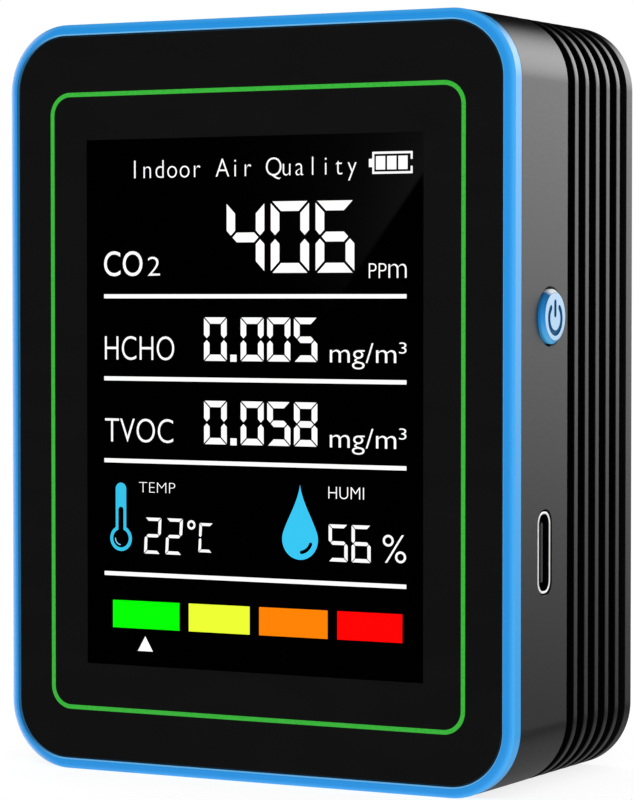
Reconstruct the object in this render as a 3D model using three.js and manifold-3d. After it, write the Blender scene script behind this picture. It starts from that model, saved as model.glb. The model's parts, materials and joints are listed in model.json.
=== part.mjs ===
// A desktop air quality monitor: a ribbed box with a coloured front bezel, a black window over
// a liquid crystal display, a side power button, a USB-C charging port and the gas sensors,
// battery and circuit board inside.
//
// Millimetres. +X is to the right of someone facing the display, +Y runs from the display to
// the back, +Z is up. The origin is the middle of the base, on the surface it stands on.

import * as THREE from 'three';
import { mergeVertices } from 'three/addons/utils/BufferGeometryUtils.js';
import Module from 'manifold-3d';

const wasm = await Module();
wasm.setup();

// ---------------------------------------------------------------- driving dimensions
// "near" and "far" are distances behind the foremost face of the case.

const CASE = { width: 64, height: 85, depth: 32, corner: 7.6, wall: 2.4, slack: 0.1 };
const GROOVE = { count: 6, near: 14.08, width: 1.85, pitch: 2.86, depth: 1.2 };
const VENT = { rows: 5, width: 1.2, sideLength: 14, sideCount: 4, endLength: 11, endCount: 3, gap: 3 };
const BEZEL = { far: 2.15, rim: 1.25, fillet: 0.95, chamfer: 0.15, skirtFar: 4.5 };
const LEDGE = { inset: 4.5, thickness: 1.05 }; // the shelf inside the bezel that the panel lies on
const PANEL = { near: 0.1, thickness: 1.15 };
const TAPE = { thickness: 0.15, width: 2.2 };
const SKIRT = 1.2; // wall of the lips that locate the bezel and the rear cover in the housing
const REAR = { edge: 0.15, lipNear: 27.9, padNear: 27.7, padRadius: 3.2, counterbore: 2.2, seat: 29.6 };
const REAR_VENT = { rows: 6, width: 26, height: 1.6, pitch: 3.2, middle: 60 };

const BOARD = { near: 9.8, thickness: 1.6, gap: 0.5 };
const BOSS = { x: 25.2, fromMiddle: 35.4, radius: 2.9, web: 1.6, bite: 0.4, far: 27.6 };
const PILOT = { radius: 1.2, depth: 5.5 };
const SCREW = { head: 1.9, headHeight: 1.2, shank: 0.9, length: 5, slot: 0.5, slotDepth: 0.6 };

const DISPLAY = { width: 45.4, height: 65.4, middle: 42.15, glassNear: 1.6, glassFar: 2.7 };
const GUIDE = { near: 2.8, far: 5.3, stripHeight: 2.2 };
const CARRIER = { wall: 1.2, near: 1.7, floor: 5.4, far: 6.2, postRadius: 2, postX: 20, postFromMiddle: 29 };
const FLEX = { width: 20, thickness: 0.2, bend: 1.6, bottom: 6.2, glassEnd: 2.2, boardEnd: 8.5 };
const FLEX_SOCKET = { width: 24, bottom: 8.6, height: 4, near: 7.6 };

const BUTTON = { middle: 9.5, z: 51.9, radius: 3.0, face: 2.62, edge: 0.4, proud: 0.6 };
const BUTTON_FLANGE = { radius: 4, thickness: 0.8 };
const BUTTON_HOLE = 3.2; // radius
const SYMBOL = { radius: 1.6, stroke: 0.52, depth: 0.15, gapAngle: 0.75, drop: 0.2 };
const SYMBOL_BAR = { top: 1.85, bottom: -0.1 };
const SWITCH = { inner: 24.5, outer: 28, width: 7, height: 3.5, cavity: 1.6 };
const PLUNGER = { inner: 26.8, width: 2.8, height: 1.5, clearance: 0.2 };

const PORT = { z: 26.3, long: 8.94, short: 3.26, wall: 0.3, inner: 24.65, setBack: 0.05, holeGap: 0.2 };
const TONGUE = { long: 6.69, short: 0.7, setBack: 0.36, rootLength: 1.8 };

const ARC_ERROR = 0.03; // how far a straight step may lie inside the arc that it stands for
const OVERCUT = 1; // how far a cutter runs past the face it opens

// ---------------------------------------------------------------- derived places

const REAR_COVER_NEAR = GROOVE.near + (GROOVE.count - 1) * GROOVE.pitch + GROOVE.width;
const BOARD_FAR = BOARD.near + BOARD.thickness;
const SIDE_FACE = CASE.width / 2;
const INNER_WALL = SIDE_FACE - CASE.wall;
const LEDGE_NEAR = PANEL.near + PANEL.thickness + TAPE.thickness;
const PORT_MIDDLE = BOARD.near - PORT.short / 2;
const SCREW_PLACES = [
  [-BOSS.x, CASE.height / 2 - BOSS.fromMiddle],
  [BOSS.x, CASE.height / 2 - BOSS.fromMiddle],
  [BOSS.x, CASE.height / 2 + BOSS.fromMiddle],
  [-BOSS.x, CASE.height / 2 + BOSS.fromMiddle],
];

// ---------------------------------------------------------------- materials

const plastic = (color, roughness) => new THREE.MeshStandardMaterial({ color, roughness, metalness: 0 });
const metal = (color, roughness) => new THREE.MeshStandardMaterial({ color, roughness, metalness: 1 });

const MATERIALS = {
  bluePlastic: plastic(0x3c9de7, 0.4),
  caseBlack: plastic(0x1c1c1d, 0.45),
  windowBlack: plastic(0x0a0a0a, 0.12),
  foam: plastic(0x202020, 0.95),
  glass: plastic(0x101418, 0.08),
  whitePlastic: plastic(0xe8e8e4, 0.5),
  blackPlastic: plastic(0x161616, 0.6),
  creamPlastic: plastic(0xe6dfc8, 0.5),
  boardGreen: plastic(0x1d5c35, 0.5),
  amberFilm: plastic(0xb9772a, 0.4),
  chipBlack: plastic(0x1b1b1d, 0.6),
  ferrite: plastic(0x3a3a3c, 0.8),
  pouch: plastic(0xb9bcc2, 0.35),
  redWire: plastic(0xc01818, 0.5),
  blackWire: plastic(0x151515, 0.5),
  steel: metal(0xc9ccd0, 0.3),
  darkSteel: metal(0x4a4a4c, 0.4),
  gold: metal(0xd8b25a, 0.3),
};

// ---------------------------------------------------------------- solids and booleans

function toSolid(geometry) {
  const bare = geometry.clone();
  bare.deleteAttribute('normal');
  bare.deleteAttribute('uv');
  const merged = mergeVertices(bare);
  return new wasm.Manifold(new wasm.Mesh({
    numProp: 3,
    vertProperties: merged.attributes.position.array,
    triVerts: new Uint32Array(merged.index.array),
  }));
}

function toGeometry(solid) {
  const { vertProperties, triVerts } = solid.getMesh();
  const geometry = new THREE.BufferGeometry();
  geometry.setAttribute('position', new THREE.BufferAttribute(vertProperties, 3));
  geometry.setIndex(new THREE.BufferAttribute(triVerts, 1));
  geometry.computeVertexNormals();
  return geometry;
}

function join(first, ...others) {
  return toGeometry(others.map(toSolid).reduce((whole, piece) => whole.add(piece), toSolid(first)));
}

function cut(blank, ...cutters) {
  return toGeometry(cutters.map(toSolid).reduce((rest, cutter) => rest.subtract(cutter), toSolid(blank)));
}

function overlap(first, second) {
  return toGeometry(toSolid(first).intersect(toSolid(second)));
}

// ---------------------------------------------------------------- outlines

function stepsInArc(radius, angle) {
  return Math.ceil(Math.abs(angle) / (2 * Math.acos(1 - ARC_ERROR / radius)));
}

const sidesOfCircle = (radius) => 4 * stepsInArc(radius, Math.PI / 2);

function arc(middleX, middleY, radius, from, to) {
  const steps = stepsInArc(radius, to - from);
  return Array.from({ length: steps + 1 }, (_, step) => {
    const angle = from + ((to - from) * step) / steps;
    return new THREE.Vector2(middleX + radius * Math.cos(angle), middleY + radius * Math.sin(angle));
  });
}

function outlineThrough(points) {
  return new THREE.Shape(points.filter((point, i) => point.distanceTo(points.at(i - 1)) > ARC_ERROR / 100));
}

function roundedRectangle(width, height, radius, middleX = 0, middleY = 0) {
  const x = width / 2 - radius;
  const y = height / 2 - radius;
  const quarter = Math.PI / 2;
  return outlineThrough([
    ...arc(middleX + x, middleY - y, radius, -quarter, 0),
    ...arc(middleX + x, middleY + y, radius, 0, quarter),
    ...arc(middleX - x, middleY + y, radius, quarter, 2 * quarter),
    ...arc(middleX - x, middleY - y, radius, 2 * quarter, 3 * quarter),
  ]);
}

// The outline of the case in X and Z, moved inwards all round.
function caseOutline(inset) {
  const { width, height, corner } = CASE;
  return roundedRectangle(width - 2 * inset, height - 2 * inset, corner - inset, 0, height / 2);
}

// ---------------------------------------------------------------- placing

const behindFront = (distance) => distance - CASE.depth / 2;

// An outline drawn in X and Z, made solid from near to far behind the front.
function slab(outline, near, far) {
  const geometry = new THREE.ExtrudeGeometry(outline, { depth: far - near, bevelEnabled: false });
  geometry.rotateX(Math.PI / 2);
  geometry.translate(0, behindFront(far), 0);
  return geometry;
}

// A slab with its near edge, its far edge or both rounded.
function roundedSlab(outline, near, far, radius, { roundNear = true, roundFar = true } = {}) {
  const first = roundNear ? near : near - 2 * radius;
  const last = roundFar ? far : far + 2 * radius;
  const geometry = new THREE.ExtrudeGeometry(outline, {
    depth: last - first - 2 * radius,
    bevelThickness: radius,
    bevelSize: radius,
    bevelOffset: -radius,
    bevelSegments: stepsInArc(radius, Math.PI / 2),
  });
  geometry.rotateX(Math.PI / 2);
  geometry.translate(0, behindFront(last - radius), 0);
  return overlap(geometry, slab(outline, near, far));
}

// A ring between two insets of the case outline.
function caseRing(outerInset, innerInset, near, far) {
  const outline = caseOutline(outerInset);
  outline.holes.push(caseOutline(innerInset));
  return slab(outline, near, far);
}

// A box with its middle at x and z, from near to far behind the front.
function block(width, height, x, z, near, far) {
  const geometry = new THREE.BoxGeometry(width, far - near, height);
  geometry.translate(x, behindFront((near + far) / 2), z);
  return geometry;
}

// A round piece that points to the back.
function disc(radius, x, z, near, far) {
  const geometry = new THREE.CylinderGeometry(radius, radius, far - near, sidesOfCircle(radius));
  geometry.translate(x, behindFront((near + far) / 2), z);
  return geometry;
}

// An outline drawn in Y (about a distance behind the front) and Z, made solid along X.
function sideSlab(outline, fromX, toX, middle, z) {
  const geometry = new THREE.ExtrudeGeometry(outline, { depth: toX - fromX, bevelEnabled: false });
  const right = new THREE.Vector3(1, 0, 0);
  const back = new THREE.Vector3(0, 1, 0);
  const up = new THREE.Vector3(0, 0, 1);
  geometry.applyMatrix4(new THREE.Matrix4().makeBasis(back, up, right));
  geometry.translate(fromX, behindFront(middle), z);
  return geometry;
}

// ---------------------------------------------------------------- case

function frontBezel() {
  const { far, rim, fillet, chamfer, skirtFar } = BEZEL;
  const lipOuter = CASE.wall + CASE.slack;
  const lipInner = lipOuter + SKIRT;
  const ledgeFar = LEDGE_NEAR + LEDGE.thickness;
  const face = roundedSlab(caseOutline(0), 0, far, fillet, { roundFar: false });
  const skirt = slab(caseOutline(lipOuter), LEDGE_NEAR, skirtFar);
  const pocket = slab(caseOutline(rim), -OVERCUT, LEDGE_NEAR);
  const softEdge = chamferCutter(rim, chamfer);
  const skirtHollow = slab(caseOutline(lipInner), ledgeFar, skirtFar + OVERCUT);
  const opening = slab(caseOutline(LEDGE.inset), 0, skirtFar + OVERCUT);
  return cut(join(face, skirt), pocket, softEdge, skirtHollow, opening);
}

// A wedge all round that breaks the inner edge of the bezel where it meets the front.
function chamferCutter(rim, size) {
  const geometry = new THREE.ExtrudeGeometry(caseOutline(rim), {
    depth: OVERCUT,
    bevelThickness: size,
    bevelSize: size,
    bevelSegments: 1,
  });
  geometry.rotateX(Math.PI / 2);
  geometry.translate(0, behindFront(0), 0);
  return geometry;
}

function frontPanel() {
  return slab(caseOutline(BEZEL.rim + CASE.slack), PANEL.near, PANEL.near + PANEL.thickness);
}

function panelAdhesive() {
  const inset = BEZEL.rim + 4 * CASE.slack;
  return caseRing(inset, inset + TAPE.width, PANEL.near + PANEL.thickness, LEDGE_NEAR);
}

function housing() {
  const near = BEZEL.far;
  const shell = caseRing(0, CASE.wall, near, REAR_COVER_NEAR);
  const grooves = Array.from({ length: GROOVE.count }, (_, row) => grooveCutter(row));
  const [holeFrom, holeTo] = [INNER_WALL - OVERCUT, SIDE_FACE + OVERCUT];
  const buttonOutline = outlineThrough(arc(0, 0, BUTTON_HOLE, 0, 2 * Math.PI));
  const buttonHole = sideSlab(buttonOutline, holeFrom, holeTo, BUTTON.middle, BUTTON.z);
  const gap = 2 * PORT.holeGap;
  const portOutline = roundedRectangle(PORT.short + gap, PORT.long + gap, (PORT.short + gap) / 2);
  const portHole = sideSlab(portOutline, holeFrom, holeTo, PORT_MIDDLE, PORT.z);
  const bosses = SCREW_PLACES.flatMap(([x, z]) => bossPieces(x, z));
  const pilots = SCREW_PLACES.flatMap(([x, z]) => [
    disc(PILOT.radius, x, z, BOARD_FAR - OVERCUT, BOARD_FAR + PILOT.depth),
    disc(PILOT.radius, x, z, BOSS.far - PILOT.depth, BOSS.far + OVERCUT),
  ]);
  return cut(join(shell, ...bosses), ...grooves, ...ventCutters(), buttonHole, portHole, ...pilots);
}

const grooveNear = (row) => GROOVE.near + row * GROOVE.pitch;

function grooveCutter(row) {
  const near = grooveNear(row);
  const pastRearEdge = row === GROOVE.count - 1 ? OVERCUT : 0;
  return caseRing(-OVERCUT, GROOVE.depth, near, near + GROOVE.width + pastRearEdge);
}

// Slots through the groove floors. Every other groove has them on the right and the top, and
// the grooves between on the left and the bottom, so no light shines straight through the case.
function ventCutters() {
  return Array.from({ length: VENT.rows }, (_, row) => ventRow(row)).flat();
}

function ventRow(row) {
  const { width, sideLength, sideCount, endLength, endCount, gap } = VENT;
  const side = row % 2 === 0 ? 1 : -1;
  const near = grooveNear(row) + (GROOVE.width - width) / 2;
  const reach = CASE.wall + OVERCUT;
  const wallX = side * (SIDE_FACE - reach / 2);
  const wallZ = CASE.height / 2 + (side * (CASE.height - reach)) / 2;
  const offsets = (count, length) => (
    Array.from({ length: count }, (_, slot) => (slot - (count - 1) / 2) * (length + gap))
  );
  return [
    ...offsets(sideCount, sideLength).map((offset) => (
      block(reach, sideLength, wallX, CASE.height / 2 + offset, near, near + width)
    )),
    ...offsets(endCount, endLength).map((offset) => (
      block(endLength, reach, offset, wallZ, near, near + width)
    )),
  ];
}

// A screw boss with one web to the side wall and one to the top or bottom wall.
function bossPieces(x, z) {
  const { radius, web, bite, far } = BOSS;
  const wallX = Math.sign(x) * (INNER_WALL + bite);
  const wallZ = z < CASE.height / 2 ? CASE.wall - bite : CASE.height - CASE.wall + bite;
  return [
    disc(radius, x, z, BOARD_FAR, far),
    block(Math.abs(wallX - x), web, (wallX + x) / 2, z, BOARD_FAR, far),
    block(web, Math.abs(wallZ - z), x, (wallZ + z) / 2, BOARD_FAR, far),
  ];
}

function rearCover() {
  const near = REAR_COVER_NEAR;
  const lipOuter = CASE.wall + CASE.slack;
  const plate = roundedSlab(caseOutline(0), near, CASE.depth, REAR.edge, { roundNear: false });
  const lip = caseRing(lipOuter, lipOuter + SKIRT, REAR.lipNear, near + REAR.edge);
  const pads = SCREW_PLACES.map(([x, z]) => disc(REAR.padRadius, x, z, REAR.padNear, near + REAR.edge));
  const holes = SCREW_PLACES.flatMap(([x, z]) => [
    disc(PILOT.radius, x, z, REAR.padNear - OVERCUT, REAR.seat + OVERCUT),
    disc(REAR.counterbore, x, z, REAR.seat, CASE.depth + OVERCUT),
  ]);
  const slots = Array.from({ length: REAR_VENT.rows }, (_, row) => rearVentCutter(row));
  return cut(join(plate, lip, ...pads), ...holes, ...slots);
}

function rearVentCutter(row) {
  const { rows, width, height, pitch, middle } = REAR_VENT;
  const z = middle + (row - (rows - 1) / 2) * pitch;
  const outline = roundedRectangle(width, height, height / 2, 0, z);
  return slab(outline, REAR_COVER_NEAR - OVERCUT, CASE.depth + OVERCUT);
}

// A pan head screw about the origin, its head towards +Y, with a cross recess.
function screw() {
  const { head, headHeight, shank, length, slot, slotDepth } = SCREW;
  const profile = [
    new THREE.Vector2(0, -length),
    new THREE.Vector2(shank * 0.6, -length),
    new THREE.Vector2(shank, -length + shank),
    new THREE.Vector2(shank, 0),
    new THREE.Vector2(head, 0),
    new THREE.Vector2(head, headHeight / 2),
    new THREE.Vector2(head - headHeight / 2, headHeight),
    new THREE.Vector2(0, headHeight),
  ];
  const blank = new THREE.LatheGeometry(profile, sidesOfCircle(shank));
  const arm = new THREE.BoxGeometry(1.2 * head, 2 * slotDepth, slot).translate(0, headHeight, 0);
  const crossArm = new THREE.BoxGeometry(slot, 2 * slotDepth, 1.2 * head).translate(0, headHeight, 0);
  return cut(blank, arm, crossArm);
}

// ---------------------------------------------------------------- display

function lcdGlass() {
  const outline = roundedRectangle(DISPLAY.width, DISPLAY.height, 0.6, 0, DISPLAY.middle);
  return slab(outline, DISPLAY.glassNear, DISPLAY.glassFar);
}

function lightGuide() {
  const height = DISPLAY.height - GUIDE.stripHeight;
  return block(DISPLAY.width, height, 0, DISPLAY.middle - GUIDE.stripHeight / 2, GUIDE.near, GUIDE.far);
}

function ledStrip() {
  const height = GUIDE.stripHeight - 0.3;
  const top = DISPLAY.middle + DISPLAY.height / 2;
  return block(DISPLAY.width - 3, height, 0, top - height / 2, GUIDE.near, GUIDE.far);
}

// A tray that holds the glass and the light guide, on four posts that stand on the board.
function displayCarrier() {
  const { wall, near, floor, far, postRadius, postX, postFromMiddle } = CARRIER;
  const insideWidth = DISPLAY.width + 2 * CASE.slack;
  const insideHeight = DISPLAY.height + 2 * CASE.slack;
  const middle = DISPLAY.middle;
  const outer = roundedRectangle(insideWidth + 2 * wall, insideHeight + 2 * wall, 1, 0, middle);
  const posts = [-1, 1].flatMap((sideX) => [-1, 1].map((sideZ) => (
    disc(postRadius, sideX * postX, middle + sideZ * postFromMiddle, floor, BOARD.near)
  )));
  const tray = join(slab(outer, near, far), ...posts);
  const pocket = block(insideWidth, insideHeight, 0, middle, near - OVERCUT, floor);
  const window = block(insideWidth * 0.7, insideHeight * 0.7, 0, middle, floor - OVERCUT, far + OVERCUT);
  const bottom = middle - insideHeight / 2;
  const flexNotch = block(FLEX.width + 2, 4 * wall, 0, bottom, near - OVERCUT, DISPLAY.glassFar + 2 * wall);
  return cut(tray, pocket, window, flexNotch);
}

// A ribbon cable: down from the glass, back under the carrier and up into its socket.
function lcdFlex() {
  const { width, thickness, bend, bottom, glassEnd, boardEnd } = FLEX;
  const half = thickness / 2;
  const glassTop = DISPLAY.middle - DISPLAY.height / 2 - CASE.slack;
  const socketTop = FLEX_SOCKET.bottom - CASE.slack;
  const [left, right, low] = [glassEnd + bend, boardEnd - bend, bottom + bend];
  const quarter = Math.PI / 2;
  const outline = outlineThrough([
    new THREE.Vector2(glassEnd - half, glassTop),
    ...arc(left, low, bend + half, 2 * quarter, 3 * quarter),
    ...arc(right, low, bend + half, 3 * quarter, 4 * quarter),
    new THREE.Vector2(boardEnd + half, socketTop),
    new THREE.Vector2(boardEnd - half, socketTop),
    ...arc(right, low, bend - half, 4 * quarter, 3 * quarter),
    ...arc(left, low, bend - half, 3 * quarter, 2 * quarter),
    new THREE.Vector2(glassEnd + half, glassTop),
  ]);
  return sideSlab(outline, -width / 2, width / 2, 0, 0);
}

function flexSocket() {
  const { width, bottom, height, near } = FLEX_SOCKET;
  return block(width, height, 0, bottom + height / 2, near, BOARD.near);
}

// ---------------------------------------------------------------- power button and switch

// A round cap that slides in the side wall, held in by a flange behind it.
function powerButton() {
  const { radius, face, edge, proud, middle, z } = BUTTON;
  const outerX = SIDE_FACE + proud;
  const flangeOuter = INNER_WALL - CASE.slack;
  const flangeInner = flangeOuter - BUTTON_FLANGE.thickness;
  const profile = [
    new THREE.Vector2(0, flangeInner),
    new THREE.Vector2(BUTTON_FLANGE.radius, flangeInner),
    new THREE.Vector2(BUTTON_FLANGE.radius, flangeOuter),
    new THREE.Vector2(radius, flangeOuter),
    ...roundedEdge(radius, face, outerX, edge),
    new THREE.Vector2(0, outerX),
  ];
  const cap = new THREE.LatheGeometry(profile, sidesOfCircle(BUTTON_FLANGE.radius));
  cap.rotateZ(-Math.PI / 2);
  cap.translate(0, behindFront(middle), z);
  const symbolX = outerX - SYMBOL.depth;
  const ring = sideSlab(symbolRing(), symbolX, outerX + OVERCUT, middle, z);
  const bar = sideSlab(symbolBar(), symbolX, outerX + OVERCUT, middle, z);
  return cut(cap, ring, bar);
}

// Points on the quarter curve from the side of the cap to its face.
function roundedEdge(radius, face, outerX, edge) {
  return arc(0, 0, 1, 0, Math.PI / 2).map(({ x, y }) => (
    new THREE.Vector2(face + (radius - face) * x, outerX - edge + edge * y)
  ));
}

// The power symbol: a ring open at the top with a bar in the gap.
function symbolRing() {
  const { radius, stroke, gapAngle, drop } = SYMBOL;
  const from = Math.PI / 2 + gapAngle;
  const to = Math.PI / 2 - gapAngle + 2 * Math.PI;
  return outlineThrough([
    ...arc(0, -drop, radius + stroke / 2, from, to),
    ...arc(0, -drop, radius - stroke / 2, to, from),
  ]);
}

function symbolBar() {
  const { stroke } = SYMBOL;
  const { top, bottom } = SYMBOL_BAR;
  return roundedRectangle(stroke, top - bottom, stroke / 2.2, 0, (top + bottom) / 2);
}

// A side-push tactile switch that sits in a notch of the board, with a well for its plunger.
function switchBody() {
  const { inner, outer, width, height, cavity } = SWITCH;
  const gap = 2 * PLUNGER.clearance;
  const near = BUTTON.middle - height / 2;
  const body = block(outer - inner, width, (outer + inner) / 2, BUTTON.z, near, near + height);
  const wellHeight = PLUNGER.height + gap;
  const wellNear = BUTTON.middle - wellHeight / 2;
  const wellX = outer - cavity / 2 + OVERCUT / 2;
  const well = block(cavity + OVERCUT, PLUNGER.width + gap, wellX, BUTTON.z, wellNear, wellNear + wellHeight);
  return cut(body, well);
}

function switchPlunger() {
  const outer = INNER_WALL - CASE.slack - BUTTON_FLANGE.thickness;
  const near = BUTTON.middle - PLUNGER.height / 2;
  const middleX = (PLUNGER.inner + outer) / 2;
  return block(outer - PLUNGER.inner, PLUNGER.width, middleX, BUTTON.z, near, near + PLUNGER.height);
}

// ---------------------------------------------------------------- charging port

function portShell() {
  const { long, short, wall, inner, setBack, z } = PORT;
  const outline = roundedRectangle(short, long, short / 2);
  outline.holes.push(roundedRectangle(short - 2 * wall, long - 2 * wall, short / 2 - wall));
  return sideSlab(outline, inner, SIDE_FACE - setBack, PORT_MIDDLE, z);
}

// The moulded insulator: a plug at the inner end and the tongue that carries the contacts.
function portInsulator() {
  const { long, short, wall, inner, z } = PORT;
  const gap = 2 * (wall + CASE.slack);
  const root = roundedRectangle(short - gap, long - gap, (short - gap) / 2);
  const tongue = roundedRectangle(TONGUE.short, TONGUE.long, TONGUE.short / 2.2);
  const rootEnd = inner + TONGUE.rootLength;
  return join(
    sideSlab(root, inner, rootEnd, PORT_MIDDLE, z),
    sideSlab(tongue, rootEnd - CASE.slack, SIDE_FACE - TONGUE.setBack, PORT_MIDDLE, z),
  );
}

// ---------------------------------------------------------------- circuit board

function mainBoard() {
  const blank = slab(caseOutline(CASE.wall + BOARD.gap), BOARD.near, BOARD_FAR);
  const [near, far] = [BOARD.near - OVERCUT, BOARD_FAR + OVERCUT];
  const holes = SCREW_PLACES.map(([x, z]) => disc(PILOT.radius, x, z, near, far));
  const notch = (fromX, width) => (
    block(SIDE_FACE - fromX, width, (fromX + SIDE_FACE) / 2, BUTTON.z, near, far)
  );
  const switchNotch = notch(SWITCH.inner - 0.2, SWITCH.width + 0.4);
  const flangeNotch = notch(SWITCH.outer + 0.2, 2 * BUTTON_FLANGE.radius + 1.2);
  return cut(blank, ...holes, switchNotch, flangeNotch);
}

// Parts on the board's front, between it and the display carrier.
const onFront = (width, height, x, z, tall) => block(width, height, x, z, BOARD.near - tall, BOARD.near);

// Parts on the board's back, some of them held off it by what is under them.
const onBack = (width, height, x, z, tall, under = 0) => (
  block(width, height, x, z, BOARD_FAR + under, BOARD_FAR + under + tall)
);

const BATTERY = { width: 30, height: 42, thickness: 6, x: -7, z: 31.5, pad: 1 };
const BATTERY_SOCKET = { width: 6, height: 6, tall: 4.5, x: 5, z: 60 };
const BATTERY_PLUG = { width: 3, height: 5, tall: 3.4, lift: 0.4 };
const LEAD = { radius: 0.65, spacing: 2.2, steps: 18, sides: 8 };
const CO2 = { width: 15, height: 30, x: 19.2, z: 26, header: 2.5, board: 1, chamber: 6, rim: 1.5 };
const PIN_STRIP = 2.5; // height of the pin header's moulding

function batteryPlug() {
  const { width, height, tall, lift } = BATTERY_PLUG;
  const right = BATTERY_SOCKET.x - BATTERY_SOCKET.width / 2 - CASE.slack;
  return onBack(width, height, right - width / 2, BATTERY_SOCKET.z, tall, lift);
}

// A lead from the top edge of the battery, over in a lazy bend, into the side of the plug.
function batteryLead(which) {
  const { radius, spacing, steps, sides } = LEAD;
  const depth = BOARD_FAR + BATTERY.pad + BATTERY.thickness / 2;
  const plugDepth = BOARD_FAR + BATTERY_PLUG.lift + BATTERY_PLUG.tall / 2;
  const plugLeft = BATTERY_SOCKET.x - BATTERY_SOCKET.width / 2 - BATTERY_PLUG.width - 2 * CASE.slack;
  const offset = (which * spacing) / 2;
  const startX = BATTERY.x - BATTERY.width / 4 - offset;
  const startZ = BATTERY.z + BATTERY.height / 2 + CASE.slack;
  const endZ = BATTERY_SOCKET.z + offset;
  const route = new THREE.CubicBezierCurve3(
    new THREE.Vector3(startX, behindFront(depth), startZ),
    new THREE.Vector3(startX, behindFront(depth), endZ - 1),
    new THREE.Vector3(startX + 5, behindFront(plugDepth), endZ),
    new THREE.Vector3(plugLeft, behindFront(plugDepth), endZ),
  );
  const section = new THREE.Shape(Array.from({ length: sides }, (_, side) => (
    new THREE.Vector2(radius, 0).rotateAround(new THREE.Vector2(), (side / sides) * 2 * Math.PI)
  )));
  return new THREE.ExtrudeGeometry(section, { steps, extrudePath: route, bevelEnabled: false });
}

// The strip of pins that carries the gas module's board, near its lower edge.
function co2PinHeader() {
  const { width, header, x, z, height, rim } = CO2;
  return onBack(width - 2 * rim, PIN_STRIP, x, z - height / 2 + PIN_STRIP, header);
}

// The infrared gas cell: a gilded box with a shallow air window in its back.
function co2Chamber() {
  const under = CO2.header + CO2.board;
  const [width, height] = [CO2.width - 2 * CO2.rim, CO2.height - 4 * CO2.rim];
  const far = BOARD_FAR + under + CO2.chamber;
  const outline = roundedRectangle(width, height, 1, CO2.x, CO2.z);
  const window = block(width / 2, height / 2, CO2.x, CO2.z, far - 0.5, far + OVERCUT);
  return cut(slab(outline, BOARD_FAR + under, far), window);
}

// A can-type gas sensor with a shallow inlet in its cap.
function sensorCan(radius, x, z, tall) {
  const far = BOARD_FAR + tall;
  const can = disc(radius, x, z, BOARD_FAR, far);
  return cut(can, disc(radius * 0.55, x, z, far - 0.6, far + OVERCUT));
}

// ---------------------------------------------------------------- assembly

const monitor = new THREE.Group();

function add(name, geometry, material, parent = monitor) {
  const mesh = new THREE.Mesh(geometry, material);
  mesh.name = name;
  parent.add(mesh);
  return mesh;
}

add('front_bezel', frontBezel(), MATERIALS.bluePlastic);
add('front_panel', frontPanel(), MATERIALS.windowBlack);
add('panel_adhesive', panelAdhesive(), MATERIALS.foam);
add('housing', housing(), MATERIALS.caseBlack);
add('rear_cover', rearCover(), MATERIALS.caseBlack);

// Four screws hold the rear cover and four hold the board, on the same bosses from either end.
SCREW_PLACES.forEach(([x, z], index) => {
  const rearScrew = add(`rear_screw_${index + 1}`, screw(), MATERIALS.darkSteel);
  rearScrew.position.set(x, behindFront(REAR.seat), z);
  const boardScrew = add(`board_screw_${index + 1}`, screw(), MATERIALS.steel);
  boardScrew.rotation.z = Math.PI;
  boardScrew.position.set(x, behindFront(BOARD.near), z);
});

add('power_button', powerButton(), MATERIALS.bluePlastic);
add('switch_plunger', switchPlunger(), MATERIALS.whitePlastic);
add('switch_body', switchBody(), MATERIALS.blackPlastic);

add('usb_shell', portShell(), MATERIALS.steel);
add('usb_insulator', portInsulator(), MATERIALS.blackPlastic);

add('lcd_glass', lcdGlass(), MATERIALS.glass);
add('light_guide', lightGuide(), MATERIALS.whitePlastic);
add('led_strip', ledStrip(), MATERIALS.creamPlastic);
add('lcd_carrier', displayCarrier(), MATERIALS.blackPlastic);
add('lcd_flex', lcdFlex(), MATERIALS.amberFilm);
add('flex_socket', flexSocket(), MATERIALS.creamPlastic);

add('main_board', mainBoard(), MATERIALS.boardGreen);
add('controller_chip', onFront(10, 10, -8, 44, 1.2), MATERIALS.chipBlack);
add('crystal', onFront(3.2, 2.5, 1, 47, 0.9), MATERIALS.steel);
add('charger_chip', onFront(5, 4, 14, 22, 1.5), MATERIALS.chipBlack);
add('inductor', onFront(4, 4, 14, 29, 2), MATERIALS.ferrite);

const { width: cellWidth, height: cellHeight, thickness: cellThickness } = BATTERY;
add('battery_pad', onBack(cellWidth - 6, cellHeight - 8, BATTERY.x, BATTERY.z, BATTERY.pad), MATERIALS.foam);
add('battery_cell', roundedSlab(
  roundedRectangle(cellWidth, cellHeight, 1.5, BATTERY.x, BATTERY.z),
  BOARD_FAR + BATTERY.pad,
  BOARD_FAR + BATTERY.pad + cellThickness,
  1,
), MATERIALS.pouch);
add('battery_socket', onBack(
  BATTERY_SOCKET.width,
  BATTERY_SOCKET.height,
  BATTERY_SOCKET.x,
  BATTERY_SOCKET.z,
  BATTERY_SOCKET.tall,
), MATERIALS.creamPlastic);
add('battery_plug', batteryPlug(), MATERIALS.whitePlastic);
add('battery_lead_red', batteryLead(1), MATERIALS.redWire);
add('battery_lead_black', batteryLead(-1), MATERIALS.blackWire);

add('co2_pin_header', co2PinHeader(), MATERIALS.blackPlastic);
add('co2_board', onBack(CO2.width, CO2.height, CO2.x, CO2.z, CO2.board, CO2.header), MATERIALS.boardGreen);
add('co2_chamber', co2Chamber(), MATERIALS.gold);
add('formaldehyde_sensor', sensorCan(6, -14, 67, 5), MATERIALS.whitePlastic);
add('tvoc_sensor', sensorCan(4.5, 3, 70, 6), MATERIALS.steel);
add('humidity_sensor', onBack(3, 3, 20, 68, 1.1), MATERIALS.whitePlastic);
add('buzzer', sensorCan(4.5, 16, 52, 4.5), MATERIALS.blackPlastic);

export default monitor;
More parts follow.
